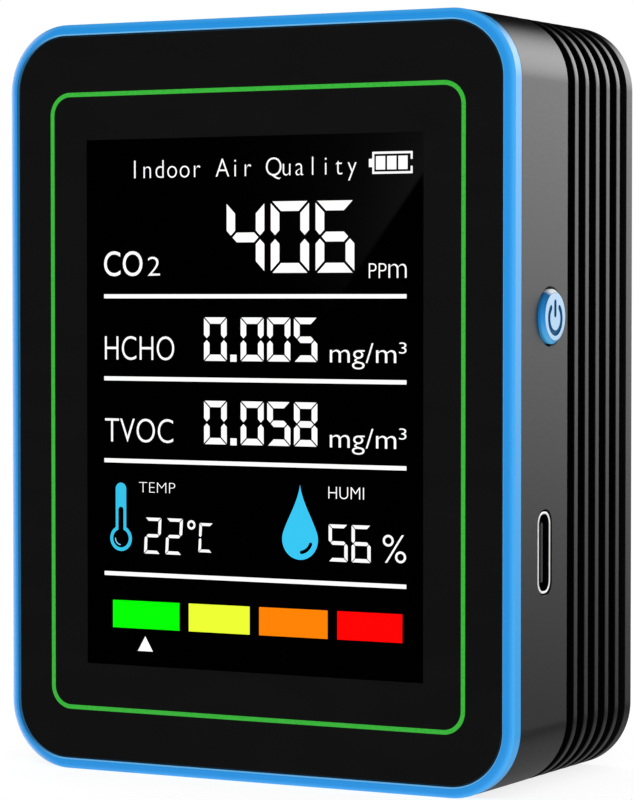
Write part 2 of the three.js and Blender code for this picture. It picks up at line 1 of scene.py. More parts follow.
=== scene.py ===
"""A desktop air quality monitor: its looks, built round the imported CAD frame.

The pieces are drawn in millimetres, as x (right of someone facing the display), depth (behind
the foremost face of the case) and z (up), and place() turns those into metres in the frame.
"""

import json
import math
from dataclasses import dataclass

import bmesh
import bpy
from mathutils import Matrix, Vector


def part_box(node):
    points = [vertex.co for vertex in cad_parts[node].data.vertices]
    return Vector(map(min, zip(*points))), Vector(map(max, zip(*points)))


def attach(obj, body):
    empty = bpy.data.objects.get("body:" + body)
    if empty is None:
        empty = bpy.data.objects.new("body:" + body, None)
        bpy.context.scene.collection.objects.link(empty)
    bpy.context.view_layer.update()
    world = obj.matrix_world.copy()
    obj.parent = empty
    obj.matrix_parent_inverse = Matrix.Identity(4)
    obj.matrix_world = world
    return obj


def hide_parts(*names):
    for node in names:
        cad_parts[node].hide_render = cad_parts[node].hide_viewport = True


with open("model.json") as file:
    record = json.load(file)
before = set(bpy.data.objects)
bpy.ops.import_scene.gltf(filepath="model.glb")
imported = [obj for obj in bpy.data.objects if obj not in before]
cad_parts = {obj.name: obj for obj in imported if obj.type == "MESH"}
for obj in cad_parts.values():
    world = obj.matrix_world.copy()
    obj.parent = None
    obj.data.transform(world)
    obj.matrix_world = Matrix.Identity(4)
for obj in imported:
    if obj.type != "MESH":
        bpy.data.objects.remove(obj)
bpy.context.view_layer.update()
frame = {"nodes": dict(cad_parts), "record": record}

MM = 0.001
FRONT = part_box("front_bezel")[0].y
ARC_STEPS = 24  # straight steps in a quarter of a large round corner
EDGE_STEPS = 4  # and in the small rounding of an edge
SHARP = math.radians(24)  # edges that turn by more than this are shaded as creases


def place(x, depth, z):
    """The point in metres for a place in millimetres."""
    return Vector((x * MM, FRONT + depth * MM, z * MM))


@dataclass
class Extent:
    """The space that a CAD node takes up, in millimetres."""

    left: float
    right: float
    near: float
    far: float
    bottom: float
    top: float

    @property
    def x(self):
        return (self.left + self.right) / 2

    @property
    def depth(self):
        return (self.near + self.far) / 2

    @property
    def z(self):
        return (self.bottom + self.top) / 2

    @property
    def width(self):
        return self.right - self.left

    @property
    def height(self):
        return self.top - self.bottom


def extent(node):
    """The space that a node of the CAD frame takes up."""
    low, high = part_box(node)
    near, far = (low.y - FRONT) / MM, (high.y - FRONT) / MM
    return Extent(low.x / MM, high.x / MM, near, far, low.z / MM, high.z / MM)


# ---------------------------------------------------------------- driving sizes, in millimetres

HOUSING = extent("housing")
BEZEL = extent("front_bezel")
PANEL = extent("front_panel")
COVER = extent("rear_cover")
GLASS = extent("lcd_glass")
BUTTON = extent("power_button")
PORT = extent("usb_shell")
TONGUE = extent("usb_insulator")

CORNER = 7.6
WALL = 2.4
SKIRT_INSET = 2.5
SKIRT = 1.2
RIM = 1.25  # width of the bezel's front face
BEZEL_CROWN = 1.07  # radius of the curve from the front of the bezel towards its side
CROWN_TURN = math.radians(65)
BEZEL_CHAMFER = 0.15
LEDGE_INSET = 4.5
LEDGE_FAR = 2.45
TAPE = 0.15  # thickness of the foam tape behind the window
PANEL_EDGE = 0.08
INNER_EDGE = 0.1  # rounding of the edges inside the case
SKIRT_EDGE = 0.2
BEZEL_JOINT_EDGE = 0.02  # roundings on either side of the joint behind the bezel
HOUSING_JOINT_EDGE = 0.03

GROOVES = 6
GROOVE_WIDTH = 1.85
GROOVE_PITCH = 2.86
GROOVE_NEAR = HOUSING.far - GROOVE_WIDTH - (GROOVES - 1) * GROOVE_PITCH
GROOVE_DEPTH = 1.2
RIB_EDGE = 0.1
VENT_ROWS = 5
VENT_WIDTH = 1.2
VENT_GAP = 3.0
VENT_CORNER = 0.3
SIDE_VENTS = (4, 14.0)  # how many in a row, and the length of each
END_VENTS = (3, 11.0)

REAR_EDGE = 0.15
COVER_JOINT_EDGE = 0.08
LIP_OVERLAP = 0.3  # how far the cover's lip reaches into its plate
LIP_SHORT = 0.2  # how far the lip ends short of the CAD one
REAR_SLOTS = 6
REAR_SLOT_WIDTH = 26.0
REAR_SLOT_HEIGHT = 1.6
REAR_SLOT_PITCH = 3.2
REAR_SLOTS_Z = 60.0
REAR_CHAMFER = 0.15  # of the openings in the rear face
REAR_SCREWS = [f"rear_screw_{number}" for number in range(1, 5)]
COUNTERBORE = 2.2
SCREW_SEAT = 29.6
SCREW_HOLE = 1.2
SCREW_SHANK = 0.9
SCREW_TIP = 0.5
SCREW_HEAD_EDGE = 0.08
SCREW_HEAD_DOME = 0.6
HUB = 0.05  # radius of the facet in the middle of a turned face

BUTTON_HOLE = 3.2
BUTTON_HOLE_FLARE = 0.12
BUTTON_RADIUS = 3.0
BUTTON_FACE = 2.62
BUTTON_EDGE = 0.4
BUTTON_ROUNDS = (0.12, 0.1)  # of the chamfer's outer and inner edge
FLANGE_THICKNESS = 0.8
SYMBOL_RADIUS = 1.6
SYMBOL_STROKE = 0.6
SYMBOL_DEPTH = 0.15
FACE_RIM = 0.02  # how far the dark rim of the button's face reaches out over its chamfer
SYMBOL_GAP = 0.75  # half of the ring's opening, in radians
SYMBOL_DROP = 0.2  # how far the ring's middle lies below the button's
SYMBOL_BAR = (1.85, -0.1)
BUTTON_HIGHLIGHT_TILT = math.radians(8)  # how far behind the top the painted highlight on its chamfer lies
BUTTON_PAINTED_SHADES = [  # painted light and shade of the chamfer by how high up it they lie: lightest low down, darker going up, a painted highlight near the top
    (0.0, (0.08, 0.45, 0.85)),
    (0.35, (0.014, 0.27, 0.71)),
    (0.88, (0.006, 0.13, 0.36)),
    (0.96, (0.92, 0.98, 1.0)),
]

PORT_WALL = 0.3
PORT_GAP = 0.2
PORT_FLARE = 0.04
PORT_RIM_EDGE = 0.12
PORT_ROUND = 0.85  # radius of its corners as a share of half its width
TONGUE_LONG = 6.69
TONGUE_SHORT = 0.7
TONGUE_ROOT = 1.8
TONGUE_TIP = 0.15  # length of the tongue's narrowed tip
CONTACTS = 12
CONTACT_PITCH = 0.5
CONTACT_WIDTH = 0.26
CONTACT_THICKNESS = 0.06
CONTACT_CORNER = 0.02
CONTACT_END = 0.5  # how far the contacts end short of the tongue's tip

# ---------------------------------------------------------------- the display's layout, in millimetres

MARK_PROUD = 0.02  # how far the lit marks stand in front of the window
MARK_SUNK = 0.05  # and how far they reach into it
AREA = Extent(GLASS.x - 21.5, GLASS.x + 21.3, 0, 0, GLASS.z - 29.85, GLASS.z + 29.65)
LINE = Extent(-26.35, 26.35, 0, 0, 6.9, 77.25)  # the outside of the green line
LINE_CORNER = 2.6
LINE_STROKE = 0.5
# a painted glare on the display: its corner, the slant of its edge, and how it fades
GLARE_CORNER = (GLASS.x + 21.1, GLASS.z + 24.6)
GLARE_SLANT = math.radians(52.6)
GLARE_EDGE = 0.5  # width of its soft edge
GLARE_WIDTH = 22.5  # three times the distance in which it falls to 1/e
GLARE_DROP = 19

ROW_LEFT = GLASS.x - 19.2
ROW_RIGHT = GLASS.x + 19.28
FIRST_RULE = GLASS.z + 11.95
ROW_PITCH = 9.3
LAST_RULE = GLASS.z - 19.48
RULE = 0.47

TITLE = "Indoor Air Quality"
TITLE_LEFT = GLASS.x - 15.9
TITLE_PITCH = 1.63
GLYPH_DEPTH = 0.02  # thickness of the built-in font's letters at size 1
CAPITAL = 0.729  # height of its capitals at size 1


@dataclass
class Digits:
    """Sizes of seven-segment digits; lean is how far they lean to the right for their height."""

    width: float
    height: float
    stroke: float
    gap: float
    pitch: float
    lean: float = 0.0


CO2_DIGITS = Digits(width=5.1, height=8.17, stroke=1.38, gap=0.3, pitch=5.62)
GAS_DIGITS = Digits(width=3.07, height=5.0, stroke=0.86, gap=0.15, pitch=3.38)
TEMPERATURE_DIGITS = Digits(width=2.2, height=4.17, stroke=0.46, gap=0.1, pitch=2.8, lean=0.05)
CELSIUS_DIGITS = Digits(width=1.82, height=3.36, stroke=0.4, gap=0.08, pitch=2.8, lean=0.05)
HUMIDITY_DIGITS = Digits(width=2.45, height=4.17, stroke=0.5, gap=0.1, pitch=2.84)

SEGMENTS_LIT = {
    "0": "abcdef",
    "2": "abdeg",
    "4": "bcfg",
    "5": "acdfg",
    "6": "acdefg",
    "8": "abcdefg",
    "C": "adef",
}

LEVELS = {  # the scale from good to bad: left and right of GLASS.x, and colour
    "green": (-18.1, -9.3, (0.0, 1.0, 0.0)),
    "yellow": (-8.1, -0.24, (0.83, 1.0, 0.032)),
    "orange": (0.97, 9.6, (1.0, 0.223, 0.0)),
    "red": (10.8, 18.8, (1.0, 0.0, 0.0)),
}

# ---------------------------------------------------------------- the studio's light and camera

AMBIENT = 0.66  # light on every side of the object
GLOW_AZIMUTH = 151.5  # a glow for the gloss of the right side
GLOW_SIDE = (0.70, 0.95)  # cosines of the angles where the glow starts and where it is full
GLOW_RISE = (-0.16, 0.24)  # it rises between these heights, as sines of the elevation
GLOW_STRENGTH = (0.03, 3.2)
LEFT_AZIMUTH = -88  # a second glow, for the gloss of the left edge
LEFT_SIDE = (0.62, 0.95)
LEFT_STRENGTH = 2.2
LOW_RISE = (-0.32, -0.15)  # and light from below, which ends between these heights
LOW_STRENGTH = (0.24, 0)
KEY_AZIMUTH = 22
KEY_ELEVATION = 24
KEY_DISTANCE = 900
KEY_SIZE = 500
KEY_POWER = 2.2
FLOOR_SIZE = 6000
FLOOR_DROP = 0.02  # keeps it clear of the case's base
FLOOR_GLOW = 0.82

CAMERA_AZIMUTH = 28.52
CAMERA_ELEVATION = 1.77
CAMERA_DISTANCE = 384.1
CAMERA_LENS = 150.7
CAMERA_AIM = (0.14, COVER.far / 2 - 0.94, HOUSING.z - 0.29)


# ---------------------------------------------------------------- outlines


def arc(x, y, radius, start, end, steps=ARC_STEPS):
    """Points on an arc about (x, y) from one angle to another, in radians."""
    angles = [start + (end - start) * step / steps for step in range(steps + 1)]
    return [(x + radius * math.cos(a), y + radius * math.sin(a)) for a in angles]


def circle(radius, steps=4 * ARC_STEPS):
    return arc(0, 0, radius, 0, 2 * math.pi, steps)[:-1]


def small_circle(radius):
    return circle(radius, 2 * ARC_STEPS)


def rounded_rectangle(width, height, radius, x=0.0, y=0.0, steps=ARC_STEPS):
    right, up = width / 2 - radius, height / 2 - radius
    quarter = math.pi / 2
    corners = [(right, up), (-right, up), (-right, -up), (right, -up)]
    return [
        point
        for turn, (across, along) in enumerate(corners)
        for point in arc(x + across, y + along, radius, turn * quarter, (turn + 1) * quarter, steps)
    ]


def case_outline(inset):
    """The outline of the case in x and z, moved inwards all round."""
    width, height = HOUSING.width - 2 * inset, HOUSING.height - 2 * inset
    return rounded_rectangle(width, height, CORNER - inset, 0, HOUSING.z)


def inset_of(point):
    """How far inside the case outline a point of the scene lies, in millimetres."""
    across = abs(point.x / MM) - (HOUSING.width / 2 - CORNER)
    along = abs(point.z / MM - HOUSING.z) - (HOUSING.height / 2 - CORNER)
    beyond = math.hypot(max(across, 0), max(along, 0)) + min(max(across, along), 0)
    return CORNER - beyond


def rounded(corners, closed=True):
    """An outline through (x, y, radius) corners, each one turned into an arc of its radius."""
    outline = []
    last = len(corners) - 1
    for index, (x, y, radius) in enumerate(corners):
        corner = Vector((x, y))
        if radius == 0 or (not closed and index in (0, last)):
            outline.append((x, y))
            continue
        before = (Vector(corners[index - 1][:2]) - corner).normalized()
        after = (Vector(corners[(index + 1) % len(corners)][:2]) - corner).normalized()
        half = before.angle(after) / 2
        middle = corner + (before + after).normalized() * radius / math.sin(half)
        start = corner + before * radius / math.tan(half) - middle
        end = corner + after * radius / math.tan(half) - middle
        start_angle = math.atan2(start.y, start.x)
        turn = math.remainder(math.atan2(end.y, end.x) - start_angle, 2 * math.pi)
        outline += arc(middle.x, middle.y, radius, start_angle, start_angle + turn, EDGE_STEPS)
    return outline


def shrunk(outline, distance):
    """A convex outline with each side moved inwards."""
    count = len(outline)
    middle = sum((Vector(point) for point in outline), Vector((0, 0))) / count
    sides = []
    for index in range(count):
        start, end = Vector(outline[index]), Vector(outline[(index + 1) % count])
        along = (end - start).normalized()
        inwards = Vector((-along.y, along.x))
        if inwards.dot(middle - start) < 0:
            inwards.negate()
        sides.append((start + inwards * distance, along))
    return [crossing(sides[index - 1], sides[index]) for index in range(count)]


def crossing(first, second):
    """Where two lines, each a point and a direction, cross."""
    (start, along), (other, across) = first, second
    share = (other - start).cross(across) / along.cross(across)
    return tuple(start + along * share)


def arc_band(x, y, radius, stroke, start, end):
    """The outline of a curved stroke with round ends."""
    half = stroke / 2
    tip_start = (x + radius * math.cos(start), y + radius * math.sin(start))
    tip_end = (x + radius * math.cos(end), y + radius * math.sin(end))
    return [
        *arc(x, y, radius + half, start, end),
        *arc(*tip_end, half, end, end + math.pi, 8)[1:-1],
        *arc(x, y, radius - half, end, start),
        *arc(*tip_start, half, start + math.pi, start + 2 * math.pi, 8)[1:-1],
    ]


# ---------------------------------------------------------------- meshes


def facing_back(x, z):
    """Turns (across, up, depth) about a place on the front or the back into a point."""
    return lambda across, up, depth: place(x + across, depth, z + up)


def facing_right(depth, z):
    """Turns (across, up, x) about a place on the right side into a point."""
    return lambda across, up, x: place(x, depth + across, z + up)


def new_object(name, mesh):
    """A scene object made from a bmesh, with its faces pointing out."""
    bmesh.ops.recalc_face_normals(mesh, faces=mesh.faces)
    data = bpy.data.meshes.new(name)
    mesh.to_mesh(data)
    mesh.free()
    piece = bpy.data.objects.new(name, data)
    bpy.context.scene.collection.objects.link(piece)
    return piece


def add_loft(mesh, loops, ring):
    """Adds a skin over a row of point loops, joined round into a ring or closed at both ends."""
    rows = [[mesh.verts.new(point) for point in loop] for loop in loops]
    joins = list(zip(rows, rows[1:]))
    if ring:
        joins.append((rows[-1], rows[0]))
    else:
        mesh.faces.new(rows[0])
        mesh.faces.new(rows[-1])
    for here, there in joins:
        for index in range(len(here)):
            mesh.faces.new((here[index - 1], here[index], there[index], there[index - 1]))


def swept(name, profile, outline_at, to_point, ring=False):
    """A solid whose outline is outline_at(inset) at each (inset, position) of the profile."""
    mesh = bmesh.new()
    loops = [[to_point(u, v, at) for u, v in outline_at(inset)] for inset, at in profile]
    add_loft(mesh, loops, ring)
    return new_object(name, mesh)


def swept_round_case(name, profile, ring=False):
    """A solid that follows the outline of the case."""
    return swept(name, profile, case_outline, facing_back(0, 0), ring)


def prism(name, outline, to_point, start, end):
    return swept(name, [(0, start), (0, end)], lambda inset: outline, to_point)


def joined(pieces):
    """Several objects made into the first of them."""
    mesh = bmesh.new()
    for piece in pieces:
        mesh.from_mesh(piece.data)
    first = pieces[0]
    mesh.to_mesh(first.data)
    mesh.free()
    for piece in pieces[1:]:
        bpy.data.objects.remove(piece)
    return first


def combine(piece, tools, operation="DIFFERENCE"):
    """Cuts the tools out of the piece, or joins them to it, and removes the tools."""
    tool = joined(tools)
    modifier = piece.modifiers.new("combine", "BOOLEAN")
    modifier.object = tool
    modifier.operation = operation
    modifier.solver = "EXACT"
    evaluated = piece.evaluated_get(bpy.context.evaluated_depsgraph_get())
    data = bpy.data.meshes.new_from_object(evaluated)
    piece.modifiers.clear()
    piece.data = data
    bpy.data.objects.remove(tool)
    return piece


def finish_piece(piece, slot=None, stands_for=(), body="case", material=None):
    """Shades the piece, gives it the slot's or another material and puts it on its CAD body."""
    piece.data.materials.clear()
    piece.data.materials.append(material or SLOTS[slot])
    piece.data.shade_smooth()
    piece.data.set_sharp_from_angle(angle=SHARP)
    normals = piece.modifiers.new("normals", "WEIGHTED_NORMAL")
    normals.keep_sharp = True
    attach(piece, body)
    if stands_for:
        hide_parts(*stands_for)


def repaint(piece, material, chosen):
    """Gives another material to the faces for which chosen(face) is true."""
    piece.data.materials.append(material)
    for face in piece.data.polygons:
        if chosen(face):
            face.material_index = len(piece.data.materials) - 1


# ---------------------------------------------------------------- material tools

USUAL = (0.3, 0.7)  # most values of a noise texture lie between these


class Nodes:
    """A node tree under construction, and short ways to add to it."""

    def __init__(self, tree):
        self.tree = tree

    def node(self, kind, values=None, **settings):
        """A new node, with its settings and its input values or links."""
        made = self.tree.nodes.new(kind)
        for name, value in settings.items():
            setattr(made, name, value)
        for name, value in (values or {}).items():
            if isinstance(value, bpy.types.NodeSocket):
                self.tree.links.new(value, made.inputs[name])
            else:
                made.inputs[name].default_value = value
        return made

    def ramp(self, value, low, high, start=0.0, end=1.0, kind="LINEAR"):
        """value, taken from low..high to start..end."""
        values = {"Value": value, "From Min": low, "From Max": high, "To Min": start, "To Max": end}
        return self.node("ShaderNodeMapRange", values, interpolation_type=kind).outputs["Result"]

    def math(self, operation, first, second):
        return self.node("ShaderNodeMath", {0: first, 1: second}, operation=operation).outputs[0]

    def vector(self, operation, *values):
        """A step of vector arithmetic: a number for a dot product, otherwise a vector."""
        made = self.node("ShaderNodeVectorMath", dict(enumerate(values)), operation=operation)
        return made.outputs["Value" if operation == "DOT_PRODUCT" else "Vector"]

    def part(self, vector, axis):
        """One of a vector's three numbers."""
        return self.node("ShaderNodeSeparateXYZ", {0: vector}).outputs[axis]


class Finish(Nodes):
    """A material under construction: its shader, and short ways to add texture to it."""

    def __init__(self, name, roughness=0.5, metallic=0.0, specular=0.5):
        self.material = bpy.data.materials.new(name)
        self.material.use_nodes = True
        super().__init__(self.material.node_tree)
        self.shader = self.tree.nodes["Principled BSDF"]
        self.shader.inputs["Roughness"].default_value = roughness
        self.shader.inputs["Metallic"].default_value = metallic
        self.shader.inputs["Specular IOR Level"].default_value = specular
        self.position = self.node("ShaderNodeTexCoord").outputs["Object"]

    def glow(self, colour, strength=1.0):
        """Makes the material give off light."""
        self.shader.inputs["Emission Color"].default_value = (*colour, 1)
        self.shader.inputs["Emission Strength"].default_value = strength

    def drive(self, name, socket):
        """Lets a texture set one of the shader's inputs."""
        self.tree.links.new(socket, self.shader.inputs[name])

    def normal(self, axis):
        """How far the surface faces along an axis, from -1 to 1."""
        return self.part(self.node("ShaderNodeNewGeometry").outputs["Normal"], axis)

    def noise(self, size, detail=2.0, stretch=(1, 1, 1)):
        """Cloudy noise with blobs of about size millimetres, drawn out where stretch is small."""
        mapping = self.node("ShaderNodeMapping", {"Vector": self.position, "Scale": stretch})
        values = {"Vector": mapping.outputs[0], "Scale": 1 / (size * MM), "Detail": detail}
        return self.node("ShaderNodeTexNoise", values).outputs["Fac"]

    def cells(self, size):
        """Voronoi cells of about size millimetres: the distance to their middles."""
        values = {"Vector": self.position, "Scale": 1 / (size * MM)}
        return self.node("ShaderNodeTexVoronoi", values).outputs["Distance"]

    def colour(self, factor, first, second):
        """Sets the base colour, blended from the first to the second by the factor."""
        mix = self.node("ShaderNodeMix", {"Factor": factor}, data_type="RGBA")
        for name, value in (("A", first), ("B", second)):
            socket = next(s for s in mix.inputs if s.name == name and s.type == "RGBA")
            socket.default_value = (*value, 1)
        self.drive("Base Color", next(s for s in mix.outputs if s.type == "RGBA"))

    def bump(self, height, rise):
        """Raises the surface by up to rise millimetres where height is 1."""
        values = {"Height": height, "Distance": rise * MM, "Strength": 1.0}
        self.drive("Normal", self.node("ShaderNodeBump", values).outputs["Normal"])

    def vary(self, texture, levels=USUAL, colours=None, roughness=None, rise=None):
        """Lets a texture, between two of its levels, change the colour, roughness and height."""
        if colours:
            self.colour(self.ramp(texture, *levels), *colours)
        if roughness:
            self.drive("Roughness", self.ramp(texture, *levels, *roughness))
        if rise:
            self.bump(texture, rise)


def grey(level):
    return (level, level, level)


def shaded(colour, share):
    """A colour made lighter or darker."""
    return tuple(min(1.0, channel * share) for channel in colour)


def moulded(name, colour, roughness, grain=0.12, rise=0.004, spread=0.06):
    """Moulded plastic: slow changes of tone from the flow and a fine grain from the tool."""
    finish = Finish(name)
    tones = shaded(colour, 1 - spread), shaded(colour, 1 + spread)
    finish.vary(finish.noise(9.0, 3.0), (0.35, 0.65), tones)
    finish.vary(finish.noise(grain), roughness=(roughness - 0.04, roughness + 0.04), rise=rise)
    return finish.material


def metal(name, colour, roughness, brushed=(1, 1, 1)):
    """Plated or turned metal, with fine marks drawn out along an axis where brushed is small."""
    finish = Finish(name, metallic=1.0)
    finish.vary(finish.noise(2.5, 3.0), (0.35, 0.7), [shaded(colour, 0.9), shaded(colour, 1.05)])
    marks = finish.noise(0.15, 4.0, brushed)
    finish.vary(marks, roughness=(roughness - 0.06, roughness + 0.08), rise=0.002)
    return finish.material


# ---------------------------------------------------------------- materials


def blue_plastic():
    """Glossy blue plastic with a painted highlight: paler where it turns away from the front."""
    finish = Finish("blue_plastic")
    finish.vary(finish.normal("Y"), (-0.93, -0.6), [(0.018, 0.28, 0.73), (0.06, 0.42, 0.92)])
    finish.vary(finish.noise(0.1), roughness=(0.11, 0.19), rise=0.0006)
    return finish.material


def bezel_chamfer_painted_light():
    """The cut edge of the bezel round the window: pale as a painted highlight, and dark as painted
    shade where it faces right.
    """
    finish = Finish("bezel_chamfer_painted_light")
    finish.vary(finish.normal("X"), (0.1, 0.6), [(0.16, 0.52, 0.92), (0.02, 0.12, 0.26)])
    finish.vary(finish.noise(0.1), roughness=(0.21, 0.29), rise=0.001)
    return finish.material


def case_plastic():
    """Near-black plastic with the even spark texture of a moulding tool."""
    finish = Finish("case_plastic")
    tones = (0.0038, 0.0038, 0.0040), (0.0050, 0.0050, 0.0052)
    finish.vary(finish.noise(11.0), (0.35, 0.65), tones)
    fine = finish.noise(0.07)
    finish.vary(fine, roughness=(0.26, 0.32))
    spark = finish.ramp(finish.cells(0.14), 0.0, 0.6)
    finish.bump(finish.math("ADD", spark, finish.ramp(fine, *USUAL)), 0.002)
    return finish.material


def groove_painted_shade():
    """The same plastic down in the grooves, painted near-black and dull as the shade that falls in
    them.
    """
    finish = Finish("groove_painted_shade", roughness=0.7, specular=0.06)
    finish.vary(finish.cells(0.14), (0.0, 0.6), [grey(0.0004), grey(0.0010)], rise=0.002)
    return finish.material


def smears(finish):
    """Faint smears on a polished window that show in its gloss."""
    marks = finish.noise(6.0, 4.0, (1, 1, 2.5))
    finish.vary(marks, (0.35, 0.7), roughness=(0.03, 0.08))
    return marks


def window_acrylic():
    """Polished black acrylic with faint smears."""
    finish = Finish("window_acrylic")
    finish.vary(smears(finish), colours=[grey(0.0058), grey(0.0066)])
    finish.bump(finish.noise(4.0, 1.0), 0.0005)
    return finish.material


def display_black():
    """The clear part of the window over the dark display, with a painted glare at its upper right."""
    finish = Finish("display_black")
    smears(finish)
    finish.colour(painted_glare(finish), grey(0.0002), grey(0.0062))
    return finish.material


def painted_glare(finish):
    """A painted glare: a wedge that ends at a slanting line and fades leftwards and downwards."""
    along = Vector((math.cos(GLARE_SLANT), 0, math.sin(GLARE_SLANT)))
    above = Vector((-along.z, 0, along.x))
    corner = place(GLARE_CORNER[0], 0, GLARE_CORNER[1])

    def distance(way):
        """How far a place lies from the corner of the wedge in a direction, in metres."""
        reach = finish.vector("DOT_PRODUCT", finish.position, tuple(way))
        return finish.math("SUBTRACT", reach, corner.dot(way))

    edge = finish.ramp(distance(above), 0, GLARE_EDGE * MM)
    lengths = finish.ramp(distance(above), 0, GLARE_WIDTH * MM, 0, 3)
    fade_left = finish.math("POWER", math.exp(-1), lengths)
    fade_down = finish.ramp(distance(-along), 0, GLARE_DROP * MM, 1, 0)
    return finish.math("MULTIPLY", edge, finish.math("MULTIPLY", fade_left, fade_down))


def lit(name, colour):
    """A lit mark of the display: even light through a faintly grained filter."""
    finish = Finish(name, roughness=0.3, specular=0.08)
    finish.vary(finish.noise(0.2), colours=[shaded(colour, 0.02), shaded(colour, 0.04)])
    finish.glow(colour)
    return finish.material


def green_print():
    """Screen-printed green ink seen through the window."""
    finish = Finish("green_print")
    inks = (0.028, 0.43, 0.028), (0.036, 0.47, 0.036)
    finish.vary(finish.noise(0.25), colours=inks, roughness=(0.25, 0.35))
    return finish.material


def button_face():
    """The button's pale face, with a fine grain."""
    return moulded("button_face", (0.46, 0.69, 0.94), 0.3, 0.12, 0.002, 0.02)


def symbol_blue():
    """Paint in the power symbol: flat, with the grain of the tool showing through."""
    finish = Finish("symbol_blue", roughness=0.6, specular=0.15)
    paints = (0.004, 0.10, 0.24), (0.005, 0.11, 0.26)
    finish.vary(finish.noise(0.1), colours=paints, rise=0.003)
    return finish.material


def button_chamfer_painted_light():
    """The button's chamfer with painted light and shade: deeper in colour going up its sides, and a
    painted white highlight near the top.
    """
    finish = Finish("button_chamfer_painted_light", roughness=0.28)
    middle = place(BUTTON.right, BUTTON.depth, BUTTON.z)
    out = finish.vector("SUBTRACT", finish.position, (0, middle.y, middle.z))
    way = finish.vector("NORMALIZE", finish.vector("MULTIPLY", out, (0, 1, 1)))
    glint = (0, math.sin(BUTTON_HIGHLIGHT_TILT), math.cos(BUTTON_HIGHLIGHT_TILT))
    upward = finish.ramp(finish.vector("DOT_PRODUCT", way, glint), -1, 1)
    tones = finish.node("ShaderNodeValToRGB", {"Fac": upward})
    stops = tones.color_ramp.elements
    for share, _ in BUTTON_PAINTED_SHADES[1:-1]:
        stops.new(share)
    for stop, (share, colour) in zip(stops, BUTTON_PAINTED_SHADES):
        stop.position = share
        stop.color = (*colour, 1)
    finish.drive("Base Color", tones.outputs["Color"])
    finish.bump(finish.noise(0.1), 0.002)
    return finish.material


def painted_highlight_rim():
    """The rim of the port's shell: near-white and only partly metallic, a painted highlight."""
    finish = Finish("painted_highlight_rim", metallic=0.25)
    finish.vary(finish.noise(0.1, 3.0), colours=[grey(0.96), grey(0.99)], roughness=(0.3, 0.38))
    return finish.material


def foam_tape():
    """Closed-cell foam: small pits in a dull black skin."""
    finish = Finish("foam_tape")
    finish.vary(finish.cells(0.35), (0.0, 0.5), [grey(0.004), grey(0.02)], (0.85, 0.98), 0.05)
    return finish.material


def display_glass():
    """Dark glass with the faint grid of its electrodes."""
    finish = Finish("display_glass")
    values = {"Vector": finish.position, "Scale": 400.0, "Mortar Size": 0.03}
    grid = finish.node("ShaderNodeTexBrick", values, offset=0.0).outputs["Fac"]
    finish.vary(grid, (0.0, 1.0), [(0.010, 0.012, 0.015), (0.02, 0.024, 0.03)], (0.05, 0.15))
    return finish.material


def circuit_board():
    """Green solder mask over copper: traces as paler lines, with a fine weave in the epoxy."""
    finish = Finish("circuit_board")
    values = {"Vector": finish.position, "Rotation": (math.pi / 2, 0, 0)}
    flat = finish.node("ShaderNodeMapping", values).outputs[0]
    values = {"Vector": flat, "Scale": 260.0, "Mortar Size": 0.05, "Brick Width": 1.7}
    traces = finish.node("ShaderNodeTexBrick", values, squash_frequency=3).outputs["Fac"]
    finish.colour(traces, (0.010, 0.095, 0.030), (0.03, 0.19, 0.06))
    weave = finish.noise(0.5)
    finish.vary(weave, roughness=(0.3, 0.45))
    finish.bump(finish.math("ADD", traces, weave), 0.02)
    return finish.material


def amber_film():
    """A polyimide ribbon with copper lines running along it."""
    finish = Finish("amber_film")
    values = {"Vector": finish.position, "Scale": 600.0}
    lines = finish.node("ShaderNodeTexWave", values, bands_direction="X").outputs["Fac"]
    tones = (0.485, 0.184, 0.024), (0.30, 0.085, 0.012)
    finish.vary(lines, (0.4, 0.6), tones, (0.25, 0.4), 0.02)
    return finish.material


def pouch_foil():
    """The battery's laminated foil, faintly creased."""
    finish = Finish("pouch_foil", metallic=0.85)
    tones = (0.42, 0.44, 0.47), (0.52, 0.54, 0.57)
    finish.vary(finish.noise(5.0, 5.0), colours=tones, roughness=(0.32, 0.5), rise=0.25)
    return finish.material


def ferrite():
    """Sintered ferrite: a dull grey with pale specks."""
    finish = Finish("ferrite", roughness=0.8)
    tones = (0.035, 0.035, 0.038), (0.12, 0.12, 0.13)
    finish.vary(finish.noise(0.12, 4.0), (0.5, 0.75), tones, rise=0.02)
    return finish.material


def slot_materials():
    """The material of each slot that a carried-over CAD node can use."""
    return {
        "blue_plastic": blue_plastic(),
        "case_plastic": case_plastic(),
        "window": window_acrylic(),
        "foam_tape": foam_tape(),
        "display_glass": display_glass(),
        "white_plastic": moulded("white_plastic", (0.8, 0.8, 0.77), 0.5, 0.2, 0.006),
        "black_plastic": moulded("black_plastic", (0.01, 0.01, 0.01), 0.55, 0.15, 0.006, 0.15),
        "cream_plastic": moulded("cream_plastic", (0.79, 0.74, 0.58), 0.5, 0.2, 0.006),
        "board": circuit_board(),
        "film": amber_film(),
        "chip": moulded("chip", (0.011, 0.011, 0.012), 0.62, 0.09, 0.01, 0.15),
        "ferrite": ferrite(),
        "pouch_foil": pouch_foil(),
        "red_wire": moulded("red_wire", (0.527, 0.009, 0.009), 0.4, 0.3, 0.008),
        "black_wire": moulded("black_wire", (0.008, 0.008, 0.008), 0.4, 0.3, 0.008, 0.15),
        "steel": metal("steel", (0.80, 0.81, 0.83), 0.22, (0.1, 1, 1)),
        "dark_steel": metal("dark_steel", (0.069, 0.069, 0.073), 0.36),
        "gold_plate": metal("gold_plate", (0.687, 0.445, 0.102), 0.25),
    }


SLOTS = slot_materials()
DISPLAY_BLACK = display_black()


def paint_cad_nodes():
    """Gives every CAD node the material of the slot that the record names for it."""
    for part in frame["record"]["subparts"]:
        node = frame["nodes"][part["node"]]
        for slot in node.material_slots:
            slot.material = SLOTS[part["material_slot"]]


# ---------------------------------------------------------------- case


